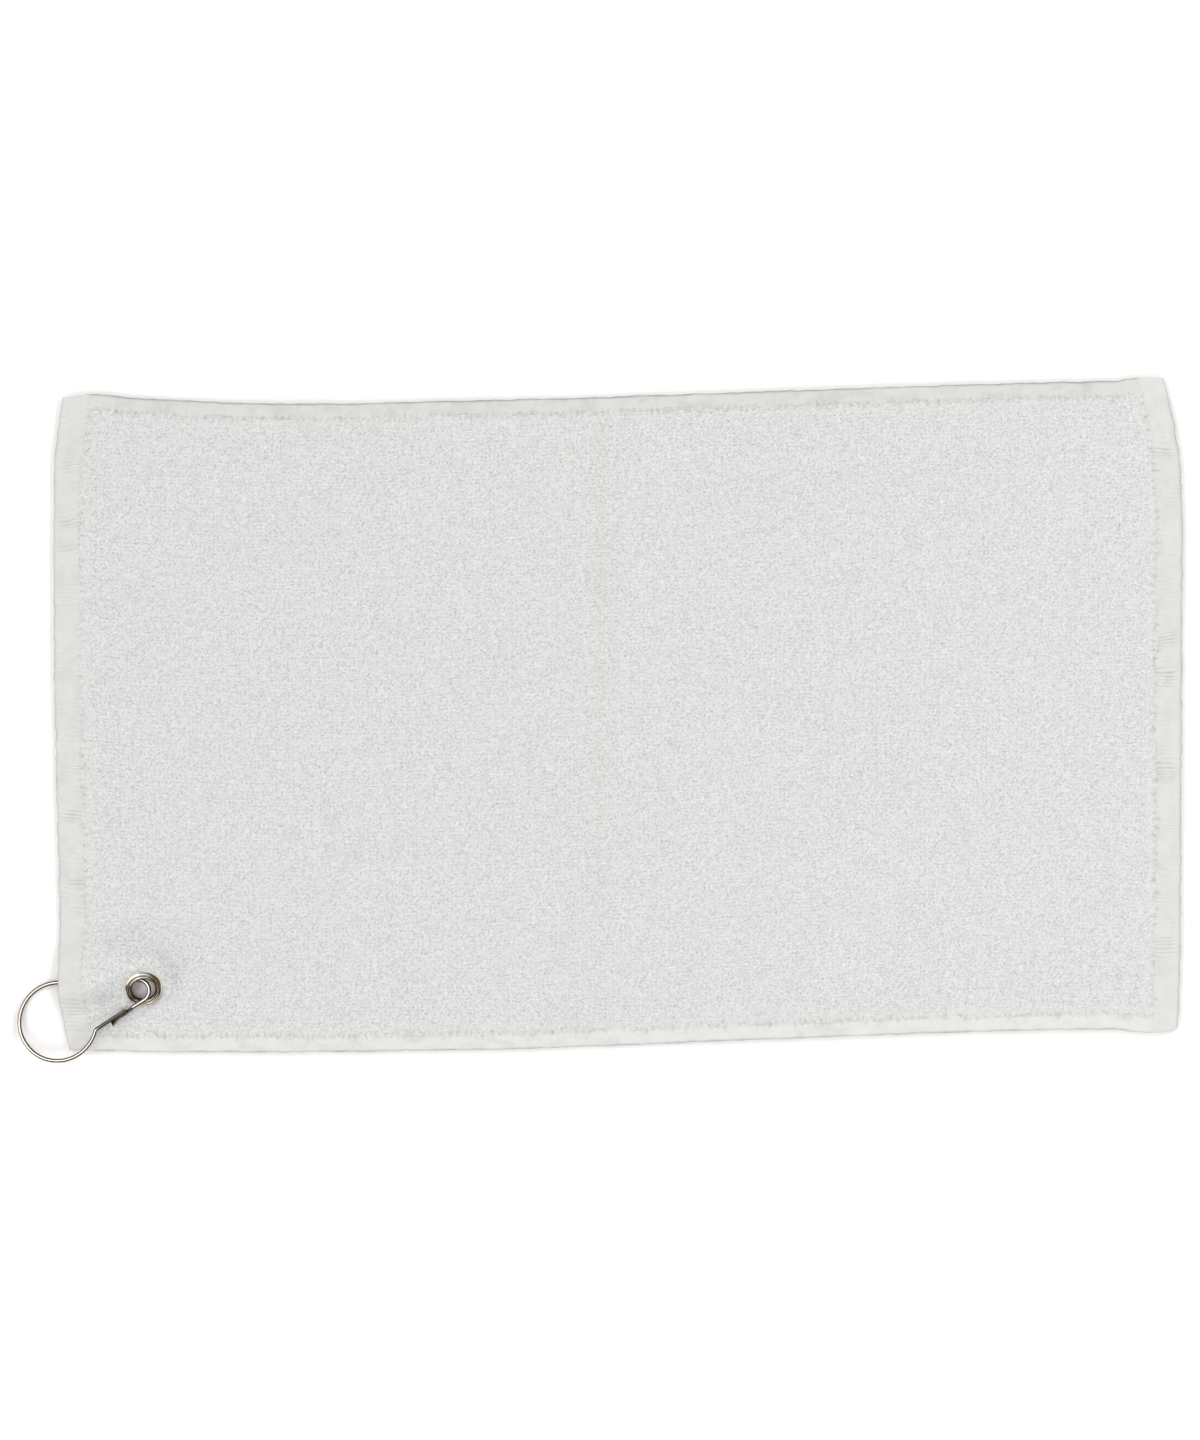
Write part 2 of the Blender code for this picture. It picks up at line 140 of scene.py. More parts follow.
def curve_through(points):
    """A function y(x) that runs smoothly through the points without overshooting them."""
    x, y = np.array(points, float).T
    run, rise = np.diff(x), np.diff(y)
    slope = rise / run
    tangent = np.concatenate([slope[:1], np.zeros(len(x) - 2), slope[-1:]])
    same_way = slope[:-1] * slope[1:] > 0
    inner = 2 * slope[:-1] * slope[1:] / np.where(same_way, slope[:-1] + slope[1:], 1)
    tangent[1:-1] = np.where(same_way, inner, 0)

    def value(at):
        i = np.clip(np.searchsorted(x, at) - 1, 0, len(run) - 1)
        t = (at - x[i]) / run[i]
        start = y[i] * (1 + 2 * t) * (1 - t) ** 2 + run[i] * tangent[i] * t * (1 - t) ** 2
        end = y[i + 1] * t * t * (3 - 2 * t) - run[i] * tangent[i + 1] * t * t * (1 - t)
        return start + end

    return value


def smooth(t):
    t = np.clip(t, 0.0, 1.0)
    return t * t * (3 - 2 * t)


def wander(at, cell, seed):
    """Smooth noise from -1 to 1 along a line, changing over about one cell."""
    at = np.asarray(at, float) / cell
    values = np.random.default_rng(seed).uniform(-1, 1, NOISE_CELLS)
    i = np.floor(at).astype(int)
    t = smooth(at - i)
    return values[i % NOISE_CELLS] * (1 - t) + values[(i + 1) % NOISE_CELLS] * t


def patches(x, y, cell, seed):
    """Smooth noise from -1 to 1 over a plane."""
    x, y = np.broadcast_arrays(np.asarray(x, float) / cell, np.asarray(y, float) / cell)
    values = np.random.default_rng(seed).uniform(-1, 1, (NOISE_CELLS, NOISE_CELLS))
    i, j = np.floor(x).astype(int), np.floor(y).astype(int)
    t, u = smooth(x - i), smooth(y - j)
    i, j, after_i, after_j = (k % NOISE_CELLS for k in (i, j, i + 1, j + 1))
    low = values[i, j] * (1 - t) + values[after_i, j] * t
    high = values[i, after_j] * (1 - t) + values[after_i, after_j] * t
    return low * (1 - u) + high * u


def unit(vectors):
    return vectors / np.linalg.norm(vectors, axis=-1, keepdims=True)


# Where the cloth lies.

TOP_Y, BOTTOM_Y = curve_through(TOP_SIDE), curve_through(BOTTOM_SIDE)
LEFT_X = curve_through([(y, x) for x, y in LEFT_END])
RIGHT_X = curve_through([(y, x) for x, y in RIGHT_END])


def half_xy(a, b, length, end_x, low_x, high_x):
    """Places on one half, a from its outer end and b from the lower side."""
    along, t = a / length, b / WIDTH
    side, corner, crease = [], [], []
    for x, side_y in ((low_x, BOTTOM_Y), (high_x, TOP_Y)):
        at = x + (CREASE_X - x) * along
        side.append(np.array([at, side_y(at)]))
        corner.append(np.array([x, side_y(x)]).reshape(2, *[1] * np.ndim(a)))
        crease.append(np.array([CREASE_X, side_y(CREASE_X)]).reshape(2, *[1] * np.ndim(a)))
    end_y = corner[0][1] + (corner[1][1] - corner[0][1]) * t
    end = np.array([end_x(end_y), end_y])
    crease_at = crease[0] + (crease[1] - crease[0]) * t
    corners = corner[0] + (corner[1] - corner[0]) * t
    straight = corners + (crease_at - corners) * along
    return side[0] + (side[1] - side[0]) * t + end + (crease_at - end) * along - straight


def cloth_xy(s, b):
    left = half_xy(LEFT_LENGTH + s, b, LEFT_LENGTH, LEFT_X, BOTTOM_SIDE[0][0], TOP_SIDE[0][0])
    right = half_xy(RIGHT_LENGTH - s, b, RIGHT_LENGTH, RIGHT_X, BOTTOM_SIDE[-1][0], TOP_SIDE[-1][0])
    return np.where(s < 0, left, right)


def clip_uv(x, y):
    dx, dy = x - CLIP_CENTRE[0], y - CLIP_CENTRE[1]
    return (dx * math.cos(CLIP_TURN) + dy * math.sin(CLIP_TURN),
            dy * math.cos(CLIP_TURN) - dx * math.sin(CLIP_TURN))


def ripple_height(x, y):
    """Low soft folds left in the cloth, away from the crease and from the clip."""
    found = 0
    for at_x, at_y, half_length, half_width, turn, height in RIPPLES:
        c, k = math.cos(math.radians(turn)), math.sin(math.radians(turn))
        along = ((x - at_x) * c + (y - at_y) * k) / half_length
        across = ((y - at_y) * c - (x - at_x) * k) / half_width
        found = found + height * np.exp(-RIPPLE_FALL * (along ** 2 + across ** 2))
    found = found + UNEVEN * (1 + patches(x, y, UNEVEN_CELL, 5))
    from_crease = smooth((np.abs(x - CREASE_X) - FLAT_BY_CREASE) / CREASE_OVER)
    u, v = clip_uv(x, y)
    from_clip = smooth((np.hypot(u - CLIP_MIDDLE_U, v) - FLAT_BY_CLIP) / CLIP_OVER)
    return found * from_crease * from_clip


def cloth_height(x, y):
    """How high the cloth's underside stands."""
    u, v = clip_uv(x, y)
    du, dv = (u - HUMP_UV[0]) / HUMP_REACH_U, v - HUMP_UV[1]
    dv = dv / np.where(dv > 0, HUMP_REACH_ABOVE, HUMP_REACH_BELOW)
    hump = HUMP * np.maximum(0.0, 1 - du * du - dv * dv) ** 3
    from_u, from_v = u - GROMMET_UV[0], v - GROMMET_UV[1]
    middle = CLIP_HEIGHT + u * math.tan(CLIP_PITCH) + from_v * math.tan(GROMMET_TILT)
    spot = middle - TERRY_THICK / 2 / math.cos(GROMMET_TILT)
    near = 1 - smooth((np.hypot(from_u, from_v) - FLAT_SPOT_IN) / (FLAT_SPOT_OUT - FLAT_SPOT_IN))
    return np.maximum(0.0, near * spot + (1 - near) * hump) + ripple_height(x, y)


def cloth_points(s, b, w):
    """Points in metres on the cloth."""
    s, b, w = np.broadcast_arrays(np.asarray(s, float), np.asarray(b, float), np.asarray(w, float))
    x, y = cloth_xy(s, b)
    step = 0.5
    slope_x = (cloth_height(x + step, y) - cloth_height(x - step, y)) / (2 * step)
    slope_y = (cloth_height(x, y + step) - cloth_height(x, y - step)) / (2 * step)
    normal = unit(np.stack([-slope_x, -slope_y, np.ones_like(x)], -1))
    return (np.stack([x, y, cloth_height(x, y)], -1) + normal * w[..., None]) * MM


# Meshes.

def linked(name, data):
    """A new object in the scene."""
    obj = bpy.data.objects.new(name, data)
    bpy.context.scene.collection.objects.link(obj)
    return obj


def mesh_object(name, points, quads, triangles=(), sharp=None, cloth=None):
    """An object from arrays. sharp holds the sharp edges' ends, and cloth a vector for each point."""
    quads, triangles = (np.array(f, int).reshape(-1, n) for f, n in ((quads, 4), (triangles, 3)))
    mesh = bpy.data.meshes.new(name)
    mesh.vertices.add(len(points))
    mesh.vertices.foreach_set("co", np.asarray(points, np.float32).ravel())
    mesh.loops.add(quads.size + triangles.size)
    mesh.loops.foreach_set("vertex_index", np.concatenate([quads.ravel(), triangles.ravel()]))
    starts = np.concatenate([np.arange(len(quads)) * 4, quads.size + np.arange(len(triangles)) * 3])
    mesh.polygons.add(len(starts))
    mesh.polygons.foreach_set("loop_start", starts)
    mesh.update(calc_edges=True)
    mesh.shade_smooth()
    if sharp is not None:
        ends = np.zeros(len(mesh.edges) * 2, int)
        mesh.edges.foreach_get("vertices", ends)
        keys = [np.sort(e, axis=1) @ np.array([len(points), 1]) for e in (ends.reshape(-1, 2), sharp)]
        mark = mesh.attributes.new("sharp_edge", "BOOLEAN", "EDGE")
        mark.data.foreach_set("value", np.isin(keys[0], keys[1]))
    if cloth is not None:
        places = mesh.attributes.new("cloth", "FLOAT_VECTOR", "POINT")
        places.data.foreach_set("vector", np.asarray(cloth, np.float32).ravel())
    return linked(name, mesh)


def mark_painted_light(mesh, values):
    """How far each point's colour moves along the metal's colour stops: a painted highlight where it is
    raised, painted shade where it is lowered.
    """
    mark = mesh.attributes.new("painted_light_shift", "FLOAT", "POINT")
    mark.data.foreach_set("value", values.astype(np.float32))


def slab(name, top, bottom, keep, cloth_top, cloth_bottom):
    """A closed layer between two grids of points. Squares that aren't kept are left out and walled in."""
    n, m = keep.shape[0] + 1, keep.shape[1] + 1
    at = np.arange(n * m).reshape(n, m)
    under = n * m
    faces = np.stack([at[:-1, :-1], at[1:, :-1], at[1:, 1:], at[:-1, 1:]], -1)[keep]
    held = np.pad(keep, 1)
    walls = []
    for lines, before, after in ((at[:-1, :], held[1:-1, :-1], held[1:-1, 1:]),
                                 (at[:, 1:], held[:-1, 1:-1], held[1:, 1:-1])):
        other = at[1:, :] if lines.shape[0] == n - 1 else at[:, :-1]
        for first, second, here in ((other, lines, after & ~before), (lines, other, before & ~after)):
            p, q = first[here], second[here]
            walls.append(np.stack([p, q, q + under, p + under], -1))
    walls = np.concatenate(walls)
    quads = np.concatenate([faces, faces[:, ::-1] + under, walls])
    used, quads = np.unique(quads, return_inverse=True)
    quads = quads.reshape(-1, 4)
    rims = quads[-len(walls):]
    points = np.concatenate([top.reshape(-1, 3), bottom.reshape(-1, 3)])[used]
    cloth = np.concatenate([cloth_top.reshape(-1, 3), cloth_bottom.reshape(-1, 3)])[used]
    sharp = np.concatenate([rims[:, :2], rims[:, 2:]])
    return mesh_object(name, points, quads, sharp=sharp, cloth=cloth)


def skin(at):
    """Squares between neighbouring rings of point numbers. Each ring is the last direction of at."""
    after = np.roll(at, -1, axis=-1)
    corners = at[..., :-1, :], after[..., :-1, :], after[..., 1:, :], at[..., 1:, :]
    return np.stack(corners, -1).reshape(-1, 4)


def tubes(name, paths, radius, sides, across, cloth=None):
    """Closed round threads along paths of (thread, point, xyz). across is a direction square to each."""
    paths = np.asarray(paths, float)
    count, length = paths.shape[:2]
    ahead = unit(np.gradient(paths, axis=1))
    side = np.broadcast_to(np.asarray(across, float).reshape(-1, 1, 3), paths.shape)
    side = unit(side - (side * ahead).sum(-1, keepdims=True) * ahead)
    up = np.cross(ahead, side)
    angle = np.arange(sides) * 2 * math.pi / sides
    turn = np.cos(angle)[:, None] * side[:, :, None] + np.sin(angle)[:, None] * up[:, :, None]
    radius = np.broadcast_to(np.asarray(radius, float).reshape(-1, 1, 1, 1), (count, 1, 1, 1))
    points = paths[:, :, None] + turn * radius
    at = np.arange(points[..., 0].size).reshape(count, length, sides)
    after = np.roll(at, -1, axis=2)
    ends = at.size + np.arange(count * 2).reshape(count, 2, 1)
    first = np.stack([np.broadcast_to(ends[:, 0], at[:, 0].shape), after[:, 0], at[:, 0]], -1)
    last = np.stack([np.broadcast_to(ends[:, 1], at[:, -1].shape), at[:, -1], after[:, -1]], -1)
    points = np.concatenate([points.reshape(-1, 3), paths[:, [0, -1]].reshape(-1, 3)])
    if cloth is not None:
        rows = np.broadcast_to(cloth[:, :, None], (count, length, sides, 3)).reshape(-1, 3)
        cloth = np.concatenate([rows, cloth[:, [0, -1]].reshape(-1, 3)])
    triangles = np.concatenate([first.reshape(-1, 3), last.reshape(-1, 3)])
    return mesh_object(name, points, skin(at), triangles, cloth=cloth)


def closed_band(name, points, cloth):
    """A closed skin round rings of points, given as (ring, point, xyz), with flat caps."""
    count, sides = points.shape[:2]
    at = np.arange(count * sides).reshape(count, sides)
    half = sides // 2
    caps = []
    for row, turn in ((at[0], 1), (at[-1], -1)):
        strip = [(row[i], row[sides - 1 - i], row[sides - 2 - i], row[i + 1]) for i in range(half - 1)]
        caps += [face[::turn] for face in strip]
    return mesh_object(name, points.reshape(-1, 3), np.concatenate([skin(at), np.array(caps)]),
                       cloth=cloth.reshape(-1, 3))


# Frames of the clip and the grommet. The clip's X runs along it, Y towards the side that runs under the
# cloth, and Z out of its plane.

TURN = Matrix.Rotation(CLIP_TURN, 4, "Z")
PITCH = Matrix.Rotation(-CLIP_PITCH, 4, "Y")
CLIP_AT = Vector((*CLIP_CENTRE, CLIP_HEIGHT)) * MM
CLIP = Matrix.Translation(CLIP_AT) @ TURN @ PITCH @ Matrix.Rotation(-CLIP_TILT, 4, "X")
GROMMET_AT = CLIP @ (Vector((GROMMET_UV[0], 0, 0)) * MM)
GROMMET_AT += TURN.to_3x3() @ (Vector((0, GROMMET_UV[1], 0)) * MM)
GROMMET = Matrix.Translation(GROMMET_AT) @ TURN @ PITCH @ Matrix.Rotation(GROMMET_TILT, 4, "X")
FLANGE_R = 8.0
HELD_HALF = 0.26
HOLE_R = 6.3
PRESS_OUT, PRESS_OVER = 0.1, 1.9
PUFF, PUFF_OUT, PUFF_HALF = 0.22, 2.6, 1.6
PRESS_REACH, NEAR_FACE = 8, 4


def in_grommet(points):
    """Points in the grommet's own frame, in millimetres."""
    inverse = np.array(GROMMET.inverted())
    return (points @ inverse[:3, :3].T + inverse[:3, 3]) / MM


def from_grommet(places):
    """Points in metres from places in the grommet's own frame."""
    matrix = np.array(GROMMET)
    return (places * MM) @ matrix[:3, :3].T + matrix[:3, 3]


def pressed(points, side, half=HELD_HALF):
    """The cloth's points, pressed thin where the grommet holds it. side is 1 above and -1 below."""
    local = in_grommet(points)
    r = np.hypot(local[..., 0], local[..., 1])
    share = 1 - smooth((r - FLANGE_R - PRESS_OUT) / PRESS_OVER)
    puff = PUFF * max(side, 0) * np.exp(-((r - FLANGE_R - PUFF_OUT) / PUFF_HALF) ** 2)
    near = np.abs(local[..., 2]) < NEAR_FACE
    local[..., 2] = local[..., 2] * (1 - share) + side * half * share + puff * near
    return np.where(r[..., None] < FLANGE_R + PRESS_REACH, from_grommet(local), points)


def outside_hole(s, b):
    """Which squares of a grid on the cloth lie clear of the grommet's hole."""
    flat = in_grommet(cloth_points(s, b, CLOTH_MIDDLE))
    hole = np.hypot(flat[..., 0], flat[..., 1]) < HOLE_R
    return ~(hole[:-1, :-1] | hole[1:, :-1] | hole[:-1, 1:] | hole[1:, 1:])


# Cloth.

def stretch(start, stop, step):
    return np.linspace(start, stop, round((stop - start) / step) + 1)


def loop_field(along, across, seed):
    """How high the pile's loops stand over a grid: 0 in the gaps between them and 1 at the highest."""
    rng = np.random.default_rng(seed)
    s, b = np.meshgrid(np.arange(along[0], along[-1], LOOP_PITCH_S),
                       np.arange(across[0], across[-1], LOOP_PITCH_B), indexing="ij")
    b = b + LOOP_PITCH_B / 2 * (np.arange(len(s)) % 2)[:, None]
    s = s + rng.normal(0, LOOP_STRAY_S, s.shape)
    b = b + rng.normal(0, LOOP_STRAY_B, s.shape)
    lean = rng.normal(0, LOOP_LEAN, s.shape) + 0.5 * patches(s, b, 9, seed + 1)
    length = rng.uniform(*LOOP_LENGTH, s.shape)
    width = rng.uniform(*LOOP_WIDTH, s.shape)
    top = rng.uniform(*LOOP_TOP, s.shape) * (1 + 0.12 * patches(s, b, 14, seed + 2))
    top = top * np.where(np.arange(len(s)) % 2, ODD_COLUMNS, 1.0)[:, None]
    step_s, step_b = along[1] - along[0], across[1] - across[0]
    near_i = np.rint((s - along[0]) / step_s).astype(int)
    near_j = np.rint((b - across[0]) / step_b).astype(int)
    field = np.zeros((len(along), len(across)))
    reach = math.ceil(LOOP_REACH / min(step_s, step_b))
    for di in range(-reach, reach + 1):
        for dj in range(-reach, reach + 1):
            i, j = near_i + di, near_j + dj
            inside = (i >= 0) & (i < len(along)) & (j >= 0) & (j < len(across))
            i, j = i[inside], j[inside]
            ds, db, turn = along[i] - s[inside], across[j] - b[inside], lean[inside]
            p = (db * np.cos(turn) + ds * np.sin(turn)) / length[inside]
            q = (ds * np.cos(turn) - db * np.sin(turn)) / width[inside]
            np.maximum.at(field, (i, j), top[inside] * np.maximum(0, 1 - p * p - q * q) ** 0.75)
    return np.minimum(field, 1)


def hem_stray(along, seed):
    """How far a hem's inner edge strays inwards."""
    return 0.7 * wander(along, 7.5, seed) + 0.4 * wander(along, 2.6, seed + 1)


def bottom_stray(s):
    return 0.4 * hem_stray(s, STRAY_BOTTOM)


def top_stray(s):
    return 0.4 * hem_stray(s, STRAY_TOP)


def left_stray(b):
    """The left end hem is widest a little below its upper corner."""
    return hem_stray(b, STRAY_LEFT) + BULGE * np.exp(-((WIDTH - BULGE_DOWN - b) / BULGE_HALF) ** 2)


def right_stray(b):
    return hem_stray(b, STRAY_RIGHT)


def side_share(q):
    """How much of the stray reaches a place that is q in from a side hem's outer edge."""
    return smooth((q - 4) / 3)


def end_share(q):
    return smooth((q - 8) / 4)


def to_hem(s, b):
    """How far a place lies inside the nearest hem's inner edge."""
    ends = np.minimum(s + LEFT_LENGTH - END_HEM - left_stray(b),
                      RIGHT_LENGTH - END_HEM - s - right_stray(b))
    sides = np.minimum(b - SIDE_HEM - bottom_stray(s), WIDTH - SIDE_HEM - b - top_stray(s))
    return np.minimum(ends, sides)


def pile_heights(s, b, field, upper):
    """Heights of one face of the pile. It banks down to the hems on all four sides, in ragged tufts."""
    tufts = 0.45 * patches(s, b, 1.5, 31)
    bank = np.sqrt(np.maximum(smooth((to_hem(s, b) + PILE_LAP + tufts) / PILE_BANK), 0.004))
    crease = np.exp(-(s / 1.6) ** 2) * (0.5 + 0.5 * smooth((140 - np.abs(b - 115)) / 60))
    if upper:
        w = PILE_FOOT + (PILE_TOP - PILE_FOOT) * field - 0.22 * crease
    else:
        w = PILE_HANG - (PILE_HANG - PILE_LOWEST) * field
    return CLOTH_MIDDLE + (w - CLOTH_MIDDLE) * bank


def build_pile():
    """The looped pile, in tiles side by side."""
    along = stretch(PILE_FROM_S, INNER_S[1] + PILE_OVER, PILE_STEP)
    across = stretch(PILE_FROM_B, INNER_B[1] + PILE_OVER, PILE_STEP)
    s, b = np.meshgrid(along, across, indexing="ij")
    faces = {}
    for side, seed in ((1, 21), (-1, 41)):
        field = loop_field(along, across, seed)
        w = pile_heights(s, b, field, side > 0)
        faces[side] = (pressed(cloth_points(s, b, w), side), np.stack([s, b, field * 10], -1))
    keep = outside_hole(s, b)
    columns = len(along) - 1
    tiles = math.ceil(2 * columns * (len(across) - 1) / TILE_FACES)
    cuts = np.rint(np.linspace(0, columns, tiles + 1)).astype(int)
    made = []
    for k, (start, stop) in enumerate(zip(cuts[:-1], cuts[1:], strict=True)):
        span = slice(start, stop + 1)
        tile = slab(f"terry_pile_{k + 1}", faces[1][0][span], faces[-1][0][span], keep[start:stop],
                    faces[1][1][span], faces[-1][1][span])
        made.append((tile, along[start], along[stop]))
    return made


def build_ground():
    """The woven ground that the loops stand on, running on inside the hems."""
    along = stretch(1.0 - LEFT_LENGTH, RIGHT_LENGTH - 1.0, 3.0)
    bending = np.linspace(-FOLD_REACH, FOLD_REACH, 9)
    along = np.sort(np.concatenate([along[np.abs(along) > FOLD_REACH], bending]))
    across = stretch(1.0, WIDTH - 1.0, 3.0)
    s, b = np.meshgrid(along, across, indexing="ij")
    places = np.stack([s, b, 0 * s], -1)
    top = pressed(cloth_points(s, b, CLOTH_MIDDLE + GROUND_HALF), 1, GROUND_HELD_HALF)
    bottom = pressed(cloth_points(s, b, CLOTH_MIDDLE - GROUND_HALF), -1, GROUND_HELD_HALF)
    return slab("terry_ground_weave", top, bottom, outside_hole(s, b), places, places)


# Hems.

STITCH = 2.75
SEAM_IN = 0.9
HEM_RING_TOP = 15
HEM_EDGE = 7
SIDE_TOP, SIDE_LOW = 2.12, 0.42
END_TOP, END_LOW = 1.92, 0.5
RIB = 1.5
EDGE_SHADE = 0.34
TUCK = 1.0
HEM_SEEDS = {"bottom": 80, "top": 60, "left": 100, "right": 130}
# An end hem's pits are END_PIT deep where it is ribbed, and PIT_DEPTHS deeper at its corners.
PIT_DEPTHS = {"bottom": 0.16, "top": 0.36, "left": 0.34, "right": 0.12}
END_PIT = 0.12
RIB_HEIGHT, PUCKER = 0.18, 0.32


def hem_ring(width, top, low):
    """A hem's section as (q, w, side) round it, q in from the outer edge. side is 1 on top and -1 below."""
    middle, half = (top + low) / 2, (top - low) / 2
    flat = np.linspace(width + TUCK, half, HEM_RING_TOP)
    angle = np.linspace(90, 270, HEM_EDGE + 2)[1:-1]
    round_q = half + half * np.cos(np.radians(angle))
    round_w = middle + half * np.sin(np.radians(angle))
    q = np.concatenate([flat, round_q, flat[::-1]])
    w = np.concatenate([np.full(len(flat), top), round_w, np.full(len(flat), low)])
    side = np.concatenate([np.ones(len(flat)), np.sin(np.radians(angle)), -np.ones(len(flat))])
    tuck = smooth((q - width + 0.5) / (TUCK + 0.5))
    return q, w + (middle - w) * tuck * 0.8, side


def side_seam(s, side):
    """How far in a side hem's seam runs."""
    return SIDE_HEM - SEAM_IN + 0.25 * wander(s, 30, HEM_SEEDS[side])


def from_needle(along):
    """How many stitches a place along a seam lies from the nearest needle hole."""
    return (along / STITCH + 0.5) % 1 - 0.5


def pits(along, q, seam_q, depth, seed):
    """Dents where the needle went in, along a seam, some deeper than others."""
    phase = from_needle(along)
    hole = np.exp(-(phase * STITCH / 0.55) ** 2 - ((q - seam_q) / 0.55) ** 2)
    puff = np.cos(2 * math.pi * along / STITCH) * np.exp(-((q - seam_q) / 1.5) ** 2)
    return -depth * hole * (0.6 + 0.7 * wander(along, 2.2, seed)) - 0.06 * puff


def shade_places(s, b, relief, q, strength):
    """Texture places on a hem. The third number is its relief, lowest in the pits and lowered further at the
    outer edge, so that the hem's colour paints shade there.
    """
    edge = strength * EDGE_SHADE * np.exp(-(np.maximum(q, 0) / 0.7) ** 2)
    return np.stack(np.broadcast_arrays(s, b, relief - edge), -1)


def hem_piece(name, s, b, q, heights, relief, strength, flipped):
    """A hem from its section's places and heights, (w, side, thin), with its relief added on both faces."""
    w, side, thin = heights
    w = CLOTH_MIDDLE + (w - CLOTH_MIDDLE) * thin + side * relief * np.abs(side)
    points, places = cloth_points(s, b, w), shade_places(s, b, relief, q, strength)
    if flipped:
        points, places = points[:, ::-1], places[:, ::-1]
    return closed_band(name, points, places)


def build_side_hem(place):
    """The folded selvage along one long side, the bottom or the top one."""
    upper, seed = place == "top", HEM_SEEDS[place]
    s = stretch(INNER_S[0] - 1.6, INNER_S[1] + 1.6, 0.6)[:, None]
    q, w, side = hem_ring(SIDE_HEM, SIDE_TOP, SIDE_LOW)
    q = q + np.zeros_like(s)
    relief = pits(s, q, side_seam(s, place), PIT_DEPTHS[place], seed)
    relief = relief + 0.07 * patches(s, q, 1.7, seed + 2)
    relief = relief + 0.12 * patches(s, q * 2.5, 6, seed + 1)
    thin = 0.72 + 0.28 * smooth((np.minimum(s + LEFT_LENGTH, RIGHT_LENGTH - s) - END_HEM) / 1.5)
    edge = 0.16 * wander(s, 3.3, seed + 3) + 0.12 * wander(s, 8, seed + 4)
    moved = q + edge * (1 - smooth(q / 3)) + (top_stray if upper else bottom_stray)(s) * side_share(q)
    b = WIDTH - moved if upper else moved
    # The top hem's outer edge gets a stronger line of painted shade.
    strength = 1.6 if upper else 1.0
    return hem_piece(f"side_hem_{place}", s, b, q, (w, side, thin), relief, strength, not upper)


def build_end_hem(half):
    """The folded flat-woven band across one end, ribbed and puckered, smooth at its two corners."""
    left, seed = half == "left", HEM_SEEDS[half]
    b = stretch(0.15, WIDTH - 0.15, 0.27)[:, None]
    q, w, side = hem_ring(END_HEM, END_TOP, END_LOW)
    q = q + np.zeros_like(b)
    t = 2 * b / WIDTH - 1
    to_corner = np.minimum(b, WIDTH - b)
    ribbed = smooth((to_corner - 7.0) / 4.0)
    lift = smooth(1 - (to_corner - 6.0) / 3.0)
    slant = 0.16 * t ** 3 + 0.2 * wander(b, 24, seed + 8)
    phase = (b - slant * q) / RIB + 1.3 * wander(b, 8, seed) + 0.2 * patches(b, q, 5, seed + 1)
    strength = 0.5 + 0.5 * patches(b, q * 0.6, 6, seed + 2)
    rib = RIB_HEIGHT * ribbed * strength * (np.abs(np.sin(math.pi * phase)) - 0.64)
    groups = smooth((wander(b, 5.5, seed + 3) - 0.3) / 0.4)
    groups = groups * ribbed * (0.6 + 0.4 * patches(b, q, 4, seed + 4))
    pucker = -PUCKER * groups * np.cos(math.pi * phase) ** 4 * smooth((q - 1.2) / 4)
    seam = pits(b, q, END_HEM - SEAM_IN, END_PIT + PIT_DEPTHS[half] * (1 - ribbed), seed)
    relief = rib + pucker + seam + 0.07 * patches(b, q * 1.6, 5, seed + 5) + 0.10 * lift
    thin = smooth(to_corner / 0.9) * 0.35 + 0.65
    edge = 0.24 * wander(b, 2.9, seed + 6) * ribbed + 0.16 * wander(b, 9, seed + 7)
    moved = q + edge * (1 - smooth(q / 3)) + (left_stray if left else right_stray)(b) * end_share(q)
    s = moved - LEFT_LENGTH if left else RIGHT_LENGTH - moved
    return hem_piece(f"end_hem_ribbed_{half}", s, b, q, (w, side, thin), relief, 1.0, not left)


# Stitches.

NEEDLE_W = {"side": 2.27, "end": 2.07}
BOBBIN_W = {"side": 0.27, "end": 0.35}
THREAD_R = 0.17
THREAD_STEP = 0.34
SEAM_STOP_IN, SEAM_END_IN = 0.4, 1.6
DIVE, DIVE_HALF, SWAY = 0.55, 0.42, 0.07


def build_seam(name, s, b, along, w, side, seed):
    """One face of a lockstitch seam: the thread runs over the cloth and dives in at each needle hole."""
    phase = from_needle(along)
    dive = DIVE * np.exp(-(phase * STITCH / DIVE_HALF) ** 2)
    lift = 0.05 * np.cos(2 * math.pi * phase + math.pi)
    height = w + side * (lift - dive)
    sway = SWAY * wander(along, 1.9, seed)
    points = cloth_points(s, b, height) + np.array([0.6, 0.6, 0]) * sway[:, None] * MM
    across = np.array([0, 0, 1.0])
    return tubes(name, points[None], THREAD_R * MM, 7, across, cloth=np.stack([s, b, height], -1)[None])


def build_seams():
    made = []
    for face, side in (("needle", 1), ("bobbin", -1)):
        heights = NEEDLE_W if side > 0 else BOBBIN_W
        run = stretch(INNER_S[0] + SEAM_STOP_IN, INNER_S[1] - SEAM_STOP_IN, THREAD_STEP)
        for end, stray in (("bottom", bottom_stray), ("top", top_stray)):
            q = side_seam(run, end)
            q = q + stray(run) * side_share(q)
            b = q if end == "bottom" else WIDTH - q
            seed = HEM_SEEDS[end] + 9
            piece = build_seam(f"{face}_stitches_{end}", run, b, run, heights["side"], side, seed)
            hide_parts(f"{face}_thread_{end}_left", f"{face}_thread_{end}_right")
            made.append((piece, None))
        rise = stretch(SEAM_END_IN, WIDTH - SEAM_END_IN, THREAD_STEP)
        for half, stray in (("left", left_stray), ("right", right_stray)):
            q = END_HEM - SEAM_IN + stray(rise) * end_share(END_HEM - SEAM_IN)
            s = q - LEFT_LENGTH if half == "left" else RIGHT_LENGTH - q
            piece = build_seam(f"{face}_stitches_end_{half}", s, rise, rise, heights["end"], side, 7)
            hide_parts(f"{face}_thread_end_{half}")
            made.append((piece, f"{half}_half"))
    return made


# Grommet.

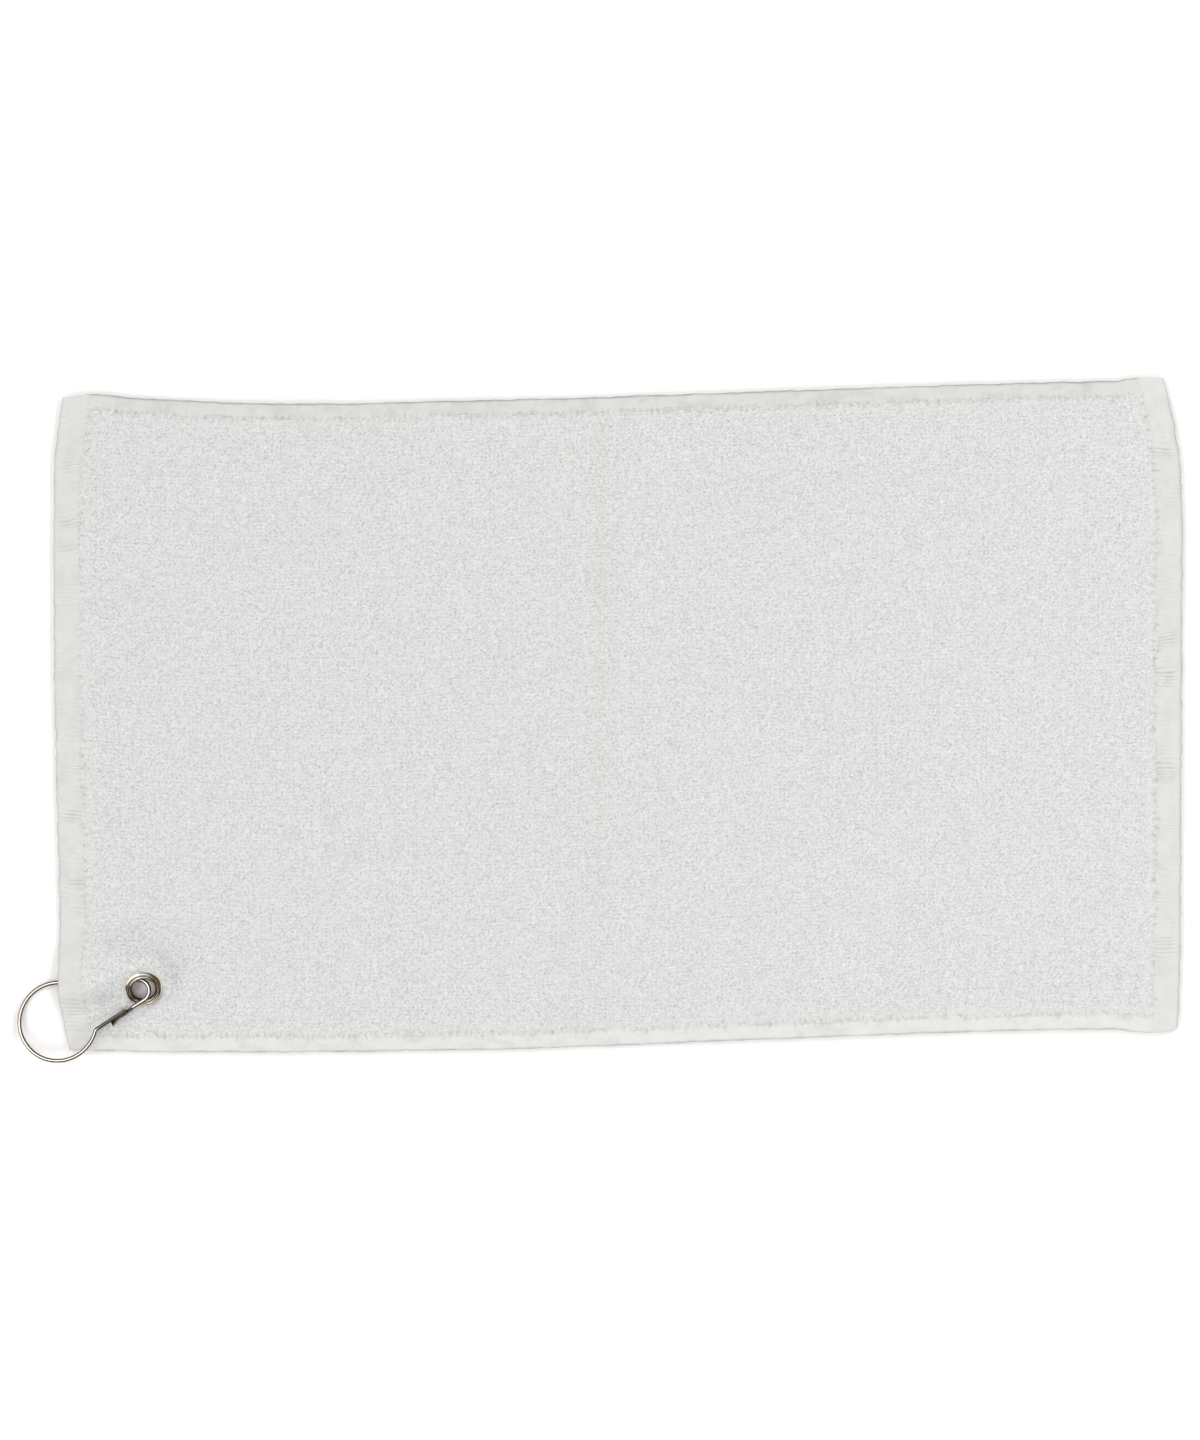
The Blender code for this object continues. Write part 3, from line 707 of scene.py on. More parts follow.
TURN_STEPS = 112
INNER_WALL_R, GROOVE_R = 5.7, 6.42
# How far the painted shade on the grommet's inner wall and groove moves its colour stops down.
DEEPEST_PAINTED_SHADE = 10.0


def turned(name, outline):
    """A ring turned from an outline of (r, z) points, painted darker as shade on its inner wall and in its
    groove.
    """
    angle = np.arange(TURN_STEPS) * 2 * math.pi / TURN_STEPS
    r, z = np.array(outline, float).T
    height = np.broadcast_to(z, (TURN_STEPS, len(z)))
    points = from_grommet(np.stack([np.outer(np.cos(angle), r), np.outer(np.sin(angle), r), height], -1))
    at = np.arange(height.size).reshape(height.shape)
    made = mesh_object(name, points.reshape(-1, 3), skin(np.concatenate([at, at[:1]])))
    painted_shade = np.maximum(smooth((INNER_WALL_R - r) / 0.4), 0.8 * np.exp(-((r - GROOVE_R) / 0.24) ** 2))
    mark_painted_light(made.data, np.tile(-DEEPEST_PAINTED_SHADE * painted_shade, TURN_STEPS))
    return made


def run_along(points):
    """How far along a line of points each one lies."""
    return np.concatenate([[0], np.cumsum(np.linalg.norm(np.diff(points, axis=0), axis=1))])


def sheet_outline(middle, thick, count):
    """A closed outline of even thickness round a smooth middle line, with round ends."""
    points = np.array(middle, float)
    run = run_along(points)
    at = np.linspace(0, run[-1], count)
    line = np.stack([curve_through(list(zip(run, points[:, k], strict=True)))(at) for k in (0, 1)], -1)
    ahead = unit(np.gradient(line, axis=0))
    out = np.stack([ahead[:, 1], -ahead[:, 0]], -1) * thick / 2
    caps = []
    for end, way in ((-1, 1), (0, -1)):
        angle = np.radians([45, 90, 135])
        start = out[end] * way
        forward = ahead[end] * thick / 2 * way
        caps.append([line[end] + start * math.cos(t) + forward * math.sin(t) for t in angle])
    return np.concatenate([line + out, caps[0], line[::-1] - out[::-1], caps[1]])


EYELET = [(6.0, -1.0), (5.55, -0.98), (5.24, -0.78), (5.1, -0.45), (5.08, 0.2), (5.2, 0.7), (5.5, 1.0),
          (5.9, 1.06), (6.2, 0.86), (GROOVE_R, 0.6), (6.65, 0.74), (6.9, 0.98), (7.15, 1.0), (7.5, 0.8),
          (7.85, 0.5), (8.08, 0.2)]
WASHER = [(6.3, -0.82), (6.8, -0.93), (7.3, -0.86), (7.75, -0.62), (7.95, -0.4)]
SHEET = 0.36
FRAY_ARC, FRAY_COUNT, FRAY_FROM_R = (-84, -18), 17, 7.7
FRAY_REACH, FRAY_RADIUS = (1.0, 3.0), (0.13, 0.2)


def build_grommet():
    eyelet = turned("grommet_rolled_eyelet", sheet_outline(EYELET, SHEET, 52))
    washer = turned("grommet_rolled_washer", sheet_outline(WASHER, SHEET, 14))
    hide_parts("grommet_eyelet")
    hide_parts("grommet_washer")
    return eyelet, washer


def build_frays():
    """Loose ends of thread that stick out from under the grommet's rim, at its lower right."""
    rng = np.random.default_rng(9)
    paths, t = [], np.linspace(0, 1, 12)
    for start in np.radians(np.linspace(*FRAY_ARC, FRAY_COUNT)):
        reach, bow = rng.uniform(*FRAY_REACH), rng.uniform(-1.6, 1.6)
        r = FRAY_FROM_R + t * reach
        turn = start + rng.uniform(-0.06, 0.06) + bow * t ** 2 / 8
        z = 0.35 + 0.85 * np.sin(t * math.pi * rng.uniform(0.5, 0.85)) * rng.uniform(0.5, 1.0)
        paths.append(from_grommet(np.stack([r * np.cos(turn), r * np.sin(turn), z], -1)))
    paths = np.array(paths)
    across = unit(np.cross(paths[:, -1] - paths[:, 0], [0, 0, 1.0]))
    return tubes("frayed_fibres", paths, rng.uniform(*FRAY_RADIUS, len(paths)) * MM, 6, across)


# Loops at the pile's edge.

BORDER_THREAD_R = 0.19
# The border loops' texture height, which the terry paints as light as the tallest loop tops.
BORDER_HEIGHT = 8.5
BORDER_SPACING = 2.3
BORDER_LENGTH, BORDER_TURN, BORDER_BOW = (1.4, 3.1), 0.5, 0.25
WIRE_CLEAR = 3.6


def edge_rows(rng):
    """Where the loops beside the four hems start, as (s, b), and the way out over the hem from each."""
    (low_s, high_s), (low_b, high_b) = INNER_S, INNER_B
    along_s = np.arange(low_s + 1, high_s - 1, BORDER_SPACING)
    along_b = np.arange(low_b + 1, high_b - 1, BORDER_SPACING * 1.5)
    places, out = [], []
    for along, edge, stray, way in ((along_s, low_b, bottom_stray, (0, -1)),
                                    (along_s, high_b, top_stray, (0, 1)),
                                    (along_b, low_s, left_stray, (-1, 0)),
                                    (along_b, high_s, right_stray, (1, 0))):
        at = along + rng.normal(0, 0.3, len(along))
        inside = rng.uniform(0.1, 1.5, len(at)) + stray(at)
        back = edge - inside * sum(way)
        places.append(np.stack([at, back] if way[0] == 0 else [back, at], -1))
        out.append(np.broadcast_to(way, places[-1].shape))
    return np.concatenate(places), np.concatenate(out).astype(float)


def from_wire(s, b):
    """How far places on the cloth lie from the clip's wire, seen from above."""
    places = np.stack(clip_uv(*cloth_xy(s, b)), -1)
    path = np.array(fixed_side_path() + gate_path())
    return np.linalg.norm(places[:, None] - path, axis=-1).min(axis=1)


def build_border_loops(name, side):
    """Long loops in the pile's outermost rows, which lean out over the hems on one face."""
    rng = np.random.default_rng(11 + side)
    places, out = edge_rows(rng)
    clear = from_wire(*places.T) > WIRE_CLEAR
    places, out = places[clear], out[clear]
    turn, length = rng.normal(0, BORDER_TURN, len(places)), rng.uniform(*BORDER_LENGTH, len(places))
    bow, high = rng.normal(0, BORDER_BOW, len(places)), rng.uniform(0.5, 1.0, len(places))
    way = np.stack([out[:, 0] * np.cos(turn) - out[:, 1] * np.sin(turn),
                    out[:, 0] * np.sin(turn) + out[:, 1] * np.cos(turn)], -1)
    t = np.linspace(0, 1, 7)
    run = length[:, None] * (t - 0.1 * np.sin(2 * math.pi * t))
    arch = np.sin(math.pi * t) ** 0.8
    s = places[:, :1] + way[:, :1] * run - way[:, 1:] * bow[:, None] * arch
    b = places[:, 1:] + way[:, 1:] * run + way[:, :1] * bow[:, None] * arch
    w = 2.0 + 0.5 * high[:, None] * arch if side > 0 else 0.5 - 0.27 * high[:, None] * arch
    across = np.stack([-way[:, 1], way[:, 0], 0 * turn], -1)
    cloth = np.stack([s, b, np.full_like(s, BORDER_HEIGHT)], -1)
    return tubes(name, cloth_points(s, b, w), BORDER_THREAD_R * MM, 5, across, cloth=cloth)


# Clip.

SPLIT_ANGLE = 158.0
RING_POINTS = 24
# How far the painted light shift moves the metal's colour stops.
PAINTED_LIGHT_REACH = 0.08
STRIP_BACK, STRIP_RINGS = 1.1, 8
CATCH_PLACES = (0.2, 0.4, 0.6, 0.67, 0.74, 0.8, 0.86, 0.91, 0.96, 1.0)
FLARE_FROM = 0.6
GATE_TIP_ROUND = ((0.16, 0.97), (0.3, 0.88), (0.42, 0.72), (0.5, 0.5), (0.54, 0.25))


def arc(centre, radius, start, stop, step):
    """Points round an arc, in degrees, turning either way."""
    count = max(1, round(abs(stop - start) / step))
    angles = [math.radians(start + (stop - start) * i / count) for i in range(count + 1)]
    return [(centre[0] + radius * math.cos(t), centre[1] + radius * math.sin(t)) for t in angles]


def bend(before, corner, after, count):
    """Points round a bend from before to after, without those two."""
    found = []
    for i in range(1, count):
        t = i / count
        found.append(tuple(p * (1 - t) ** 2 + 2 * q * t * (1 - t) + r * t * t
                           for p, q, r in zip(before, corner, after, strict=True)))
    return found


def line(start, end, count):
    """Points between two others, without them."""
    return [tuple(p + (q - p) * i / count for p, q in zip(start, end, strict=True))
            for i in range(1, count)]


def towards(start, end, distance):
    length = math.dist(start, end)
    return tuple(p + (q - p) * distance / length for p, q in zip(start, end, strict=True))


def big_loop_side(first_angle, next_point):
    """One side of the big loop, to just past the neck, on the side where v is positive."""
    neck_angle = math.degrees(math.atan2(NECK[1], NECK[0]) + NECK_ROUND / LOOP_R)
    round_part = arc((0, 0), LOOP_R, first_angle, neck_angle, 2)
    after = towards(NECK, next_point, NECK_ROUND)
    return round_part + bend(round_part[-1], NECK, after, 9) + [after]


def touch_angle(point, circle, side):
    """The angle, in degrees, at which a line from the point touches the circle."""
    u, v, radius = circle
    away = math.atan2(point[1] - v, point[0] - u)
    return math.degrees(away + side * math.acos(radius / math.dist(point, (u, v))))


def fixed_side_path():
    """The wire from the split, under the cloth, round the small loop, to the catch."""
    u, v, radius = SMALL_LOOP
    first = touch_angle(NECK, SMALL_LOOP, -1)
    last = touch_angle(CATCH_START, SMALL_LOOP, 1)
    small = arc((u, v), radius, first, last, 4)
    side = big_loop_side(SPLIT_ANGLE, small[0])
    return side + line(side[-1], small[0], 8) + small + line(small[-1], CATCH_START, 4) + [CATCH_START]


def gate_path():
    side = big_loop_side(360 - SPLIT_ANGLE, GATE_TIP)
    return [(u, -v) for u, v in side + line(side[-1], GATE_TIP, 7) + [GATE_TIP]]


def catch_outline(flare):
    """The J-shaped strip round the gate wire, as (out from the clip, up) points round its edge."""
    low = CATCH_LIP + 0.05
    bend_r = 1.05
    upright = line((CATCH_LIP, -0.1), (CATCH_LIP, bend_r - low), 3)
    corner = arc((CATCH_LIP - bend_r, bend_r - low), bend_r, 0, -90, 18)
    foot = line((CATCH_LIP - bend_r, -low), (-0.4, -low), 3)
    middle = [(CATCH_LIP, -0.1)] + upright + corner + foot
    middle = [(p + flare * max(0.0, q + low) / low, q) for p, q in middle]
    side = RING_POINTS // 2 - 2
    run = run_along(middle)
    at = np.linspace(0, run[-1], side)
    points = np.stack([np.interp(at, run, [m[k] for m in middle]) for k in (0, 1)], -1)
    ahead = unit(np.gradient(points, axis=0))
    out = np.stack([-ahead[:, 1], ahead[:, 0]], -1) * CATCH_HALF_THICK
    ends = []
    for end, way in ((-1, 1), (0, -1)):
        nose = points[end] + ahead[end] * CATCH_HALF_THICK * 0.55 * way
        ends.append([nose + out[end] * 0.45 * way, nose - out[end] * 0.45 * way])
    return np.concatenate([points + out, ends[0], points[::-1] - out[::-1], ends[1]])


def wire_outline():
    angles = math.radians(360 / RING_POINTS) * (0.5 - np.arange(RING_POINTS))
    return np.stack([WIRE_R * np.cos(angles), WIRE_R * np.sin(angles)], -1)


def ring(centre, ahead, outline):
    """An outline set square to the path, in the clip's frame. Its first number points right of the path."""
    right = Vector((ahead.y, -ahead.x, 0))
    return [Vector((*centre, 0)) + right * p + Vector((0, 0, q)) for p, q in outline]


def loft(name, rings, painted_light_shift):
    """A closed skin over rings of points. Each ring's value widens or narrows the highlight painted on its
    top.
    """
    bm = bmesh.new()
    rows = [[bm.verts.new(CLIP @ (point * MM)) for point in points] for points in rings]
    for one, two in zip(rows[:-1], rows[1:], strict=True):
        for i in range(RING_POINTS):
            j = (i + 1) % RING_POINTS
            bm.faces.new((one[i], one[j], two[j], two[i]))
    for row in (rows[0][::-1], rows[-1]):
        bm.faces.new(row)
    bmesh.ops.recalc_face_normals(bm, faces=bm.faces)
    mesh = bpy.data.meshes.new(name)
    bm.to_mesh(mesh)
    bm.free()
    mesh.shade_smooth()
    mesh.set_sharp_from_angle(angle=math.radians(50))
    mark_painted_light(mesh, np.repeat(painted_light_shift, RING_POINTS))
    return linked(name, mesh)


def mirrored(outline):
    return [(-p, q) for p, q in outline]


def painted_highlight_at(u, v):
    """The highlight painted on the wire's top is wide at the big loop's far end and round the small loop."""
    far = math.exp(-((u + LOOP_R) / 5) ** 2)
    small = math.exp(-((math.dist((u, v), SMALL_LOOP[:2]) - SMALL_LOOP[2]) / 1.5) ** 2)
    return 0.9 * far + 0.5 * small


def build_clip():
    path = [Vector(p) for p in fixed_side_path()]
    gate_end = Vector((GATE_TIP[0], -GATE_TIP[1]))
    back = (Vector((NECK[0], -NECK[1])) - gate_end).normalized()
    rings = []
    for i, point in enumerate(path[:-1]):
        ahead = (path[i + 1] - path[max(i - 1, 0)]).normalized()
        rings.append(ring(point, ahead, mirrored(wire_outline())))
    painted_light_shift = [painted_highlight_at(*point.xy) for point in path[:-1]]
    start, strip = path[-1], gate_end - back * STRIP_BACK
    for k in range(STRIP_RINGS + 1):
        along = k / STRIP_RINGS
        share = float(smooth(along))
        outline = wire_outline() * (1 - share) + catch_outline(0.0) * share
        rings.append(ring(start.lerp(strip, along), back, mirrored(outline)))
    for along in CATCH_PLACES:
        flare = CATCH_FLARE * float(smooth((along - FLARE_FROM) / 0.4))
        rings.append(ring(strip + back * along * CATCH_LENGTH, back, mirrored(catch_outline(flare))))
    # The catch gets no painted highlight, so its top stays painted dark.
    painted_light_shift += [-1.0 * smooth((i - 4) / 6) for i in range(len(rings) - len(painted_light_shift))]
    wire = loft("clip_polished_wire", rings, painted_light_shift)
    path = [Vector(p) for p in gate_path()]
    rings = []
    for i, point in enumerate(path):
        ahead = (path[min(i + 1, len(path) - 1)] - path[max(i - 1, 0)]).normalized()
        rings.append(ring(point, ahead, wire_outline()))
    for along, share in GATE_TIP_ROUND:
        rings.append(ring(path[-1] + ahead * along, ahead, wire_outline() * share))
    # The gate's straight run past the neck loses its painted highlight.
    painted_light_shift = [painted_highlight_at(*point.xy) - float(smooth((point.x - NECK[0]) / 2)) for point in path]
    painted_light_shift += [-1.0] * (len(rings) - len(painted_light_shift))
    gate = loft("gate_polished_wire", rings, painted_light_shift)
    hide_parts("clip_wire")
    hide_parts("gate_arm")
    return wire, gate


# Materials.

# A slightly darker, warmer colour painted along the crease as shade.
CREASE_SHADE_TINT = (0.96, 0.964, 0.955, 1)
# A flat, paler colour painted beside the hems as light.
LIT_BESIDE_HEMS = (0.664, 0.666, 0.653, 1)
FLOOR_COLOUR = (0.915, 0.915, 0.915, 1)


def add(tree, kind, inputs=None, **settings):
    """A node. An input is a number, a colour or another node's output."""
    node = tree.nodes.new("ShaderNode" + kind)
    for name, value in settings.items():
        setattr(node, name, value)
    for name, value in (inputs or {}).items():
        if isinstance(value, bpy.types.NodeSocket):
            tree.links.new(value, node.inputs[name])
        else:
            node.inputs[name].default_value = value
    return node


def new_material(name, **values):
    material = bpy.data.materials.new(name)
    material.use_nodes = True
    shader = material.node_tree.nodes["Principled BSDF"]
    for key, value in values.items():
        shader.inputs[key.replace("_", " ")].default_value = value
    return material, material.node_tree, shader


def math_node(tree, operation, first, second):
    return add(tree, "Math", {0: first, 1: second}, operation=operation).outputs[0]


def ranged(tree, value, start, stop, low=0.0, high=1.0):
    return add(tree, "MapRange", {0: value, 1: start, 2: stop, 3: low, 4: high}).outputs[0]


def scaled(tree, vector, size):
    """Texture places stretched so that one unit is size millimetres along each direction."""
    node = add(tree, "VectorMath", {0: vector, 1: tuple(1 / x for x in size)}, operation="MULTIPLY")
    return node.outputs[0]


def noise(tree, places, size, detail=2.0, roughness=0.5, distortion=0.0):
    inputs = {"Vector": scaled(tree, places, size), "Scale": 1.0, "Detail": detail}
    return add(tree, "TexNoise", inputs | {"Roughness": roughness, "Distortion": distortion}).outputs[0]


def cloth_places(tree):
    return add(tree, "Attribute", attribute_name="cloth").outputs["Vector"]


def grey(level):
    return level, level, level


def ramp(tree, value, stops):
    node = add(tree, "ValToRGB", {"Fac": value})
    for element in list(node.color_ramp.elements)[1:]:
        node.color_ramp.elements.remove(element)
    node.color_ramp.elements[0].position, node.color_ramp.elements[0].color = stops[0][0], (*stops[0][1], 1)
    for place, colour in stops[1:]:
        node.color_ramp.elements.new(place).color = (*colour, 1)
    return node.outputs[0]


def blended(tree, share, first, second, mode="MIX"):
    node = add(tree, "Mix", data_type="RGBA", blend_type=mode)
    for index, value in ((0, share), (6, first), (7, second)):
        if isinstance(value, bpy.types.NodeSocket):
            tree.links.new(value, node.inputs[index])
        else:
            node.inputs[index].default_value = value
    return node.outputs[2]


def painted(tree, shader, colour):
    tree.links.new(colour, shader.inputs["Base Color"])


def bumped(tree, shader, height, distance, strength=1.0):
    node = add(tree, "Bump", {"Height": height, "Distance": distance, "Strength": strength})
    tree.links.new(node.outputs[0], shader.inputs["Normal"])


def nearest_edge(tree, place, low, high):
    """How far a place lies inside the nearer of two edges."""
    inside = [math_node(tree, "SUBTRACT", *pair) for pair in ((place, low), (high, place))]
    return math_node(tree, "MINIMUM", *inside)


def terry_material():
    """White looped cotton: pale strokes of thread over darker gaps, in the rows that it was woven in. The
    taller loops are painted lighter and the gaps between them darker, as painted shade.
    """
    material, tree, shader = new_material("white_terry", Roughness=0.95, Sheen_Weight=0.2,
                                          Sheen_Roughness=0.5)
    places = cloth_places(tree)
    along, across, height = add(tree, "SeparateXYZ", {0: places}).outputs
    upright = noise(tree, places, (0.62, 0.56, 9), 1.0, 0.6, 0.4)
    sloping = noise(tree, places, (0.9, 0.44, 9), 1.0, 0.6, 0.7)
    where = noise(tree, places, (2.6, 2.6, 50), 1.0)
    strokes = blended(tree, ramp(tree, where, [(0.42, grey(0)), (0.58, grey(1))]), upright, sloping)
    # Painted shade: the texture's height, how tall the loops stand, makes the taller loops lighter and the
    # gaps between them darker.
    factor = math_node(tree, "ADD", math_node(tree, "MULTIPLY", height, 0.012), strokes)
    specks = noise(tree, places, (0.95, 0.7, 7), 0.0, 0.5, 0.5)
    factor = math_node(tree, "ADD", factor, ranged(tree, specks, 0.36, 0.24, 0.0, -0.22))
    for place, first, pitch, depth in ((across, PILE_FROM_B, LOOP_PITCH_B, 0.018),
                                       (along, PILE_FROM_S, 2 * LOOP_PITCH_S, 0.008)):
        turn = math_node(tree, "SUBTRACT", place, first)
        turn = math_node(tree, "MULTIPLY", turn, 2 * math.pi / pitch)
        row = math_node(tree, "MULTIPLY", math_node(tree, "COSINE", turn, 0.0), depth)
        factor = math_node(tree, "ADD", factor, row)
    colour = ramp(tree, factor, [(0.34, grey(0.47)), (0.55, grey(0.67)), (0.80, grey(0.775))])
    wide = noise(tree, places, (38, 30, 200))
    tint = ramp(tree, wide, [(0.3, (0.978, 0.983, 0.986)), (0.5, (0.978, 0.985, 0.993)),
                             (0.7, (0.975, 0.983, 0.993))])
    # Painted shade along the crease: full within a millimetre of it, gone six millimetres away, and weaker
    # towards the bottom side.
    crease_shade = ranged(tree, math_node(tree, "ABSOLUTE", along, 0.0), 1.0, 6.0, 1.0, 0.0)
    crease_shade = math_node(tree, "MULTIPLY", crease_shade, ranged(tree, across, 60.0, 160.0, 0.4, 1.0))
    tinted = blended(tree, crease_shade, tint, CREASE_SHADE_TINT)
    colour = blended(tree, 1.0, colour, tinted, "MULTIPLY")
    # Painted light beside the hems: within 4.5 mm of them the terry is blended up to half way toward a flat
    # paler colour, lifting the shade along the pile's border and evening its texture.
    to_side, to_end = nearest_edge(tree, across, *INNER_B), nearest_edge(tree, along, *INNER_S)
    painted_light_by_hems = ranged(tree, math_node(tree, "MINIMUM", to_side, to_end), 0.0, 4.5, 0.5, 0.0)
    painted(tree, shader, blended(tree, painted_light_by_hems, colour, LIT_BESIDE_HEMS))
    bumped(tree, shader, strokes, 0.0004, 0.8)
    return material


def ground_material():
    material, tree, shader = new_material("ground_weave", Roughness=0.95)
    places = scaled(tree, cloth_places(tree), (8, 8, 8))
    threads = add(tree, "TexWave", {"Vector": places, "Scale": 1.6, "Distortion": 0.6}).outputs[0]
    painted(tree, shader, ramp(tree, threads, [(0.0, (0.60, 0.59, 0.57)), (1.0, (0.76, 0.755, 0.74))]))
    bumped(tree, shader, threads, 0.0001)
    return material


def hem_material(name, colour, dark, weave):
    """Flat-woven cotton, with painted shade where its relief is low: in the needle holes, in the grooves and
    along its outer edge. weave is its threads' size along and across.
    """
    material, tree, shader = new_material(name, Roughness=0.9, Sheen_Weight=0.15, Sheen_Roughness=0.5)
    places = cloth_places(tree)
    relief = add(tree, "SeparateXYZ", {0: places}).outputs[2]
    fine = noise(tree, places, (*weave, 2.0), 2.0, 0.6, 0.3)
    soft = noise(tree, places, (6, 6, 30), 3.0)
    shares = [math_node(tree, "MULTIPLY", *pair) for pair in ((fine, 0.6), (soft, 0.4))]
    cloth = ramp(tree, math_node(tree, "ADD", *shares), [(0.3, dark), (0.7, colour)])
    level = ranged(tree, relief, -0.45, 0.05)
    shade = ramp(tree, level, [(0.0, (0.60, 0.595, 0.575)), (0.55, (0.88, 0.877, 0.87)), (0.95, grey(1))])
    painted(tree, shader, blended(tree, 1.0, cloth, shade, "MULTIPLY"))
    bumped(tree, shader, fine, 0.00014, 0.8)
    return material


def thread_material():
    material, tree, shader = new_material("cotton_thread", Roughness=0.75, Sheen_Weight=0.2)
    twist = noise(tree, cloth_places(tree), (0.3, 0.3, 0.12), 1.0, 0.5, 0.5)
    painted(tree, shader, ramp(tree, twist, [(0.3, (0.66, 0.65, 0.61)), (0.7, (0.80, 0.79, 0.75))]))
    bumped(tree, shader, twist, 0.00008)
    return material


def nickel_material(name, stops, roughness):
    """Plated wire or sheet, with a painted highlight and painted reflection. stops give its colour by how
    far it faces up, moved by the painted light shift marked on its points.
    """
    material, tree, shader = new_material(name, Metallic=1.0)
    coordinates = add(tree, "TexCoord")
    places = coordinates.outputs["Object"]
    facing = add(tree, "SeparateXYZ", {0: coordinates.outputs["Normal"]}).outputs[2]
    painted_light_shift = add(tree, "Attribute", attribute_name="painted_light_shift").outputs["Fac"]
    facing = math_node(tree, "ADD", facing, math_node(tree, "MULTIPLY", painted_light_shift, PAINTED_LIGHT_REACH))
    patchy = noise(tree, places, (0.004, 0.004, 0.004))
    fine = noise(tree, places, (0.0002, 0.0002, 0.0009), 2.0, 0.6)
    mottle = ramp(tree, patchy, [(0.35, (0.90, 0.88, 0.85)), (0.6, grey(1))])
    painted(tree, shader, blended(tree, 1.0, ramp(tree, facing, stops), mottle, "MULTIPLY"))
    rough = ranged(tree, patchy, 0.3, 0.7, roughness + 0.05, roughness)
    tree.links.new(rough, shader.inputs["Roughness"])
    bumped(tree, shader, fine, 0.000001, 0.5)
    return material


# Camera, floor and light.

CAMERA_HEIGHT = 1.714
FLOOR_HALF = 5.0
LAMP_OUT, LAMP_UP, LAMP_POWERS = 2.0, 1.5, (22.5, 12.0, 16.5, 23.5)
LAMP_COLOUR = (0.978, 0.99, 1.0)
SOFT_BOX_WAY = (-0.70, 0.20, 0.68)
WORLD_STRENGTH = 1.15


def build_stage():
    camera = linked("camera", bpy.data.cameras.new("camera"))
    camera.data.lens, camera.data.sensor_width = 100, 36
    camera.data.clip_end = 50
    camera.location = (0, 0, CAMERA_HEIGHT)
    bpy.context.scene.camera = camera
    bpy.ops.mesh.primitive_plane_add(size=2 * FLOOR_HALF, location=(0, 0, -0.0001))
    floor = bpy.context.object
    floor.name = "floor"
    floor.data.materials.append(new_material("pale_floor", Base_Color=FLOOR_COLOUR, Roughness=0.8)[0])
    for corner, power in enumerate(LAMP_POWERS):
        turn = math.radians(45 + 90 * corner)
        light = bpy.data.lights.new(f"softbox_{corner + 1}", "AREA")
        light.shape = "RECTANGLE"
        light.size = light.size_y = 1.0
        light.energy = power
        light.color = LAMP_COLOUR
        lamp = linked(light.name, light)
        lamp.location = (LAMP_OUT * math.cos(turn), LAMP_OUT * math.sin(turn), LAMP_UP)
        lamp.rotation_euler = (-lamp.location).to_track_quat("-Z", "Y").to_euler()
        lamp.visible_glossy = False


def build_world():
    """A studio for metal to mirror: pale low walls, brown above them, a bright ceiling and a soft box."""
    scene = bpy.context.scene
    scene.view_settings.view_transform = "Standard"
    scene.world = bpy.data.worlds.new("studio")
    scene.world.use_nodes = True
    tree = scene.world.node_tree
    direction = add(tree, "TexCoord").outputs["Generated"]
    up = add(tree, "SeparateXYZ", {0: direction}).outputs[2]
    sky = ramp(tree, up, [(0.0, grey(0.84)), (0.08, (0.78, 0.77, 0.76)), (0.18, (0.12, 0.09, 0.065)),
                          (0.79, (0.06, 0.045, 0.03)), (0.89, (0.55, 0.54, 0.53)), (0.95, grey(1.0))])
    beside = add(tree, "VectorMath", {0: direction, 1: SOFT_BOX_WAY}, operation="DOT_PRODUCT")
    box = ramp(tree, beside.outputs["Value"], [(0.76, grey(0)), (0.86, (0.95, 0.94, 0.92))])
    background = tree.nodes["Background"].inputs
    tree.links.new(blended(tree, 1.0, sky, box, "ADD"), background["Color"])
    background["Strength"].default_value = WORLD_STRENGTH


# Assembly.

def dress(piece, material):
    piece.data.materials.clear()
    piece.data.materials.append(material)


def bend_at_crease(piece):
    """Bakes a piece of cloth that lies across the crease into its mesh, leaving it on neither half."""
    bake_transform(piece)


build_stage()
build_world()
terry = terry_material()
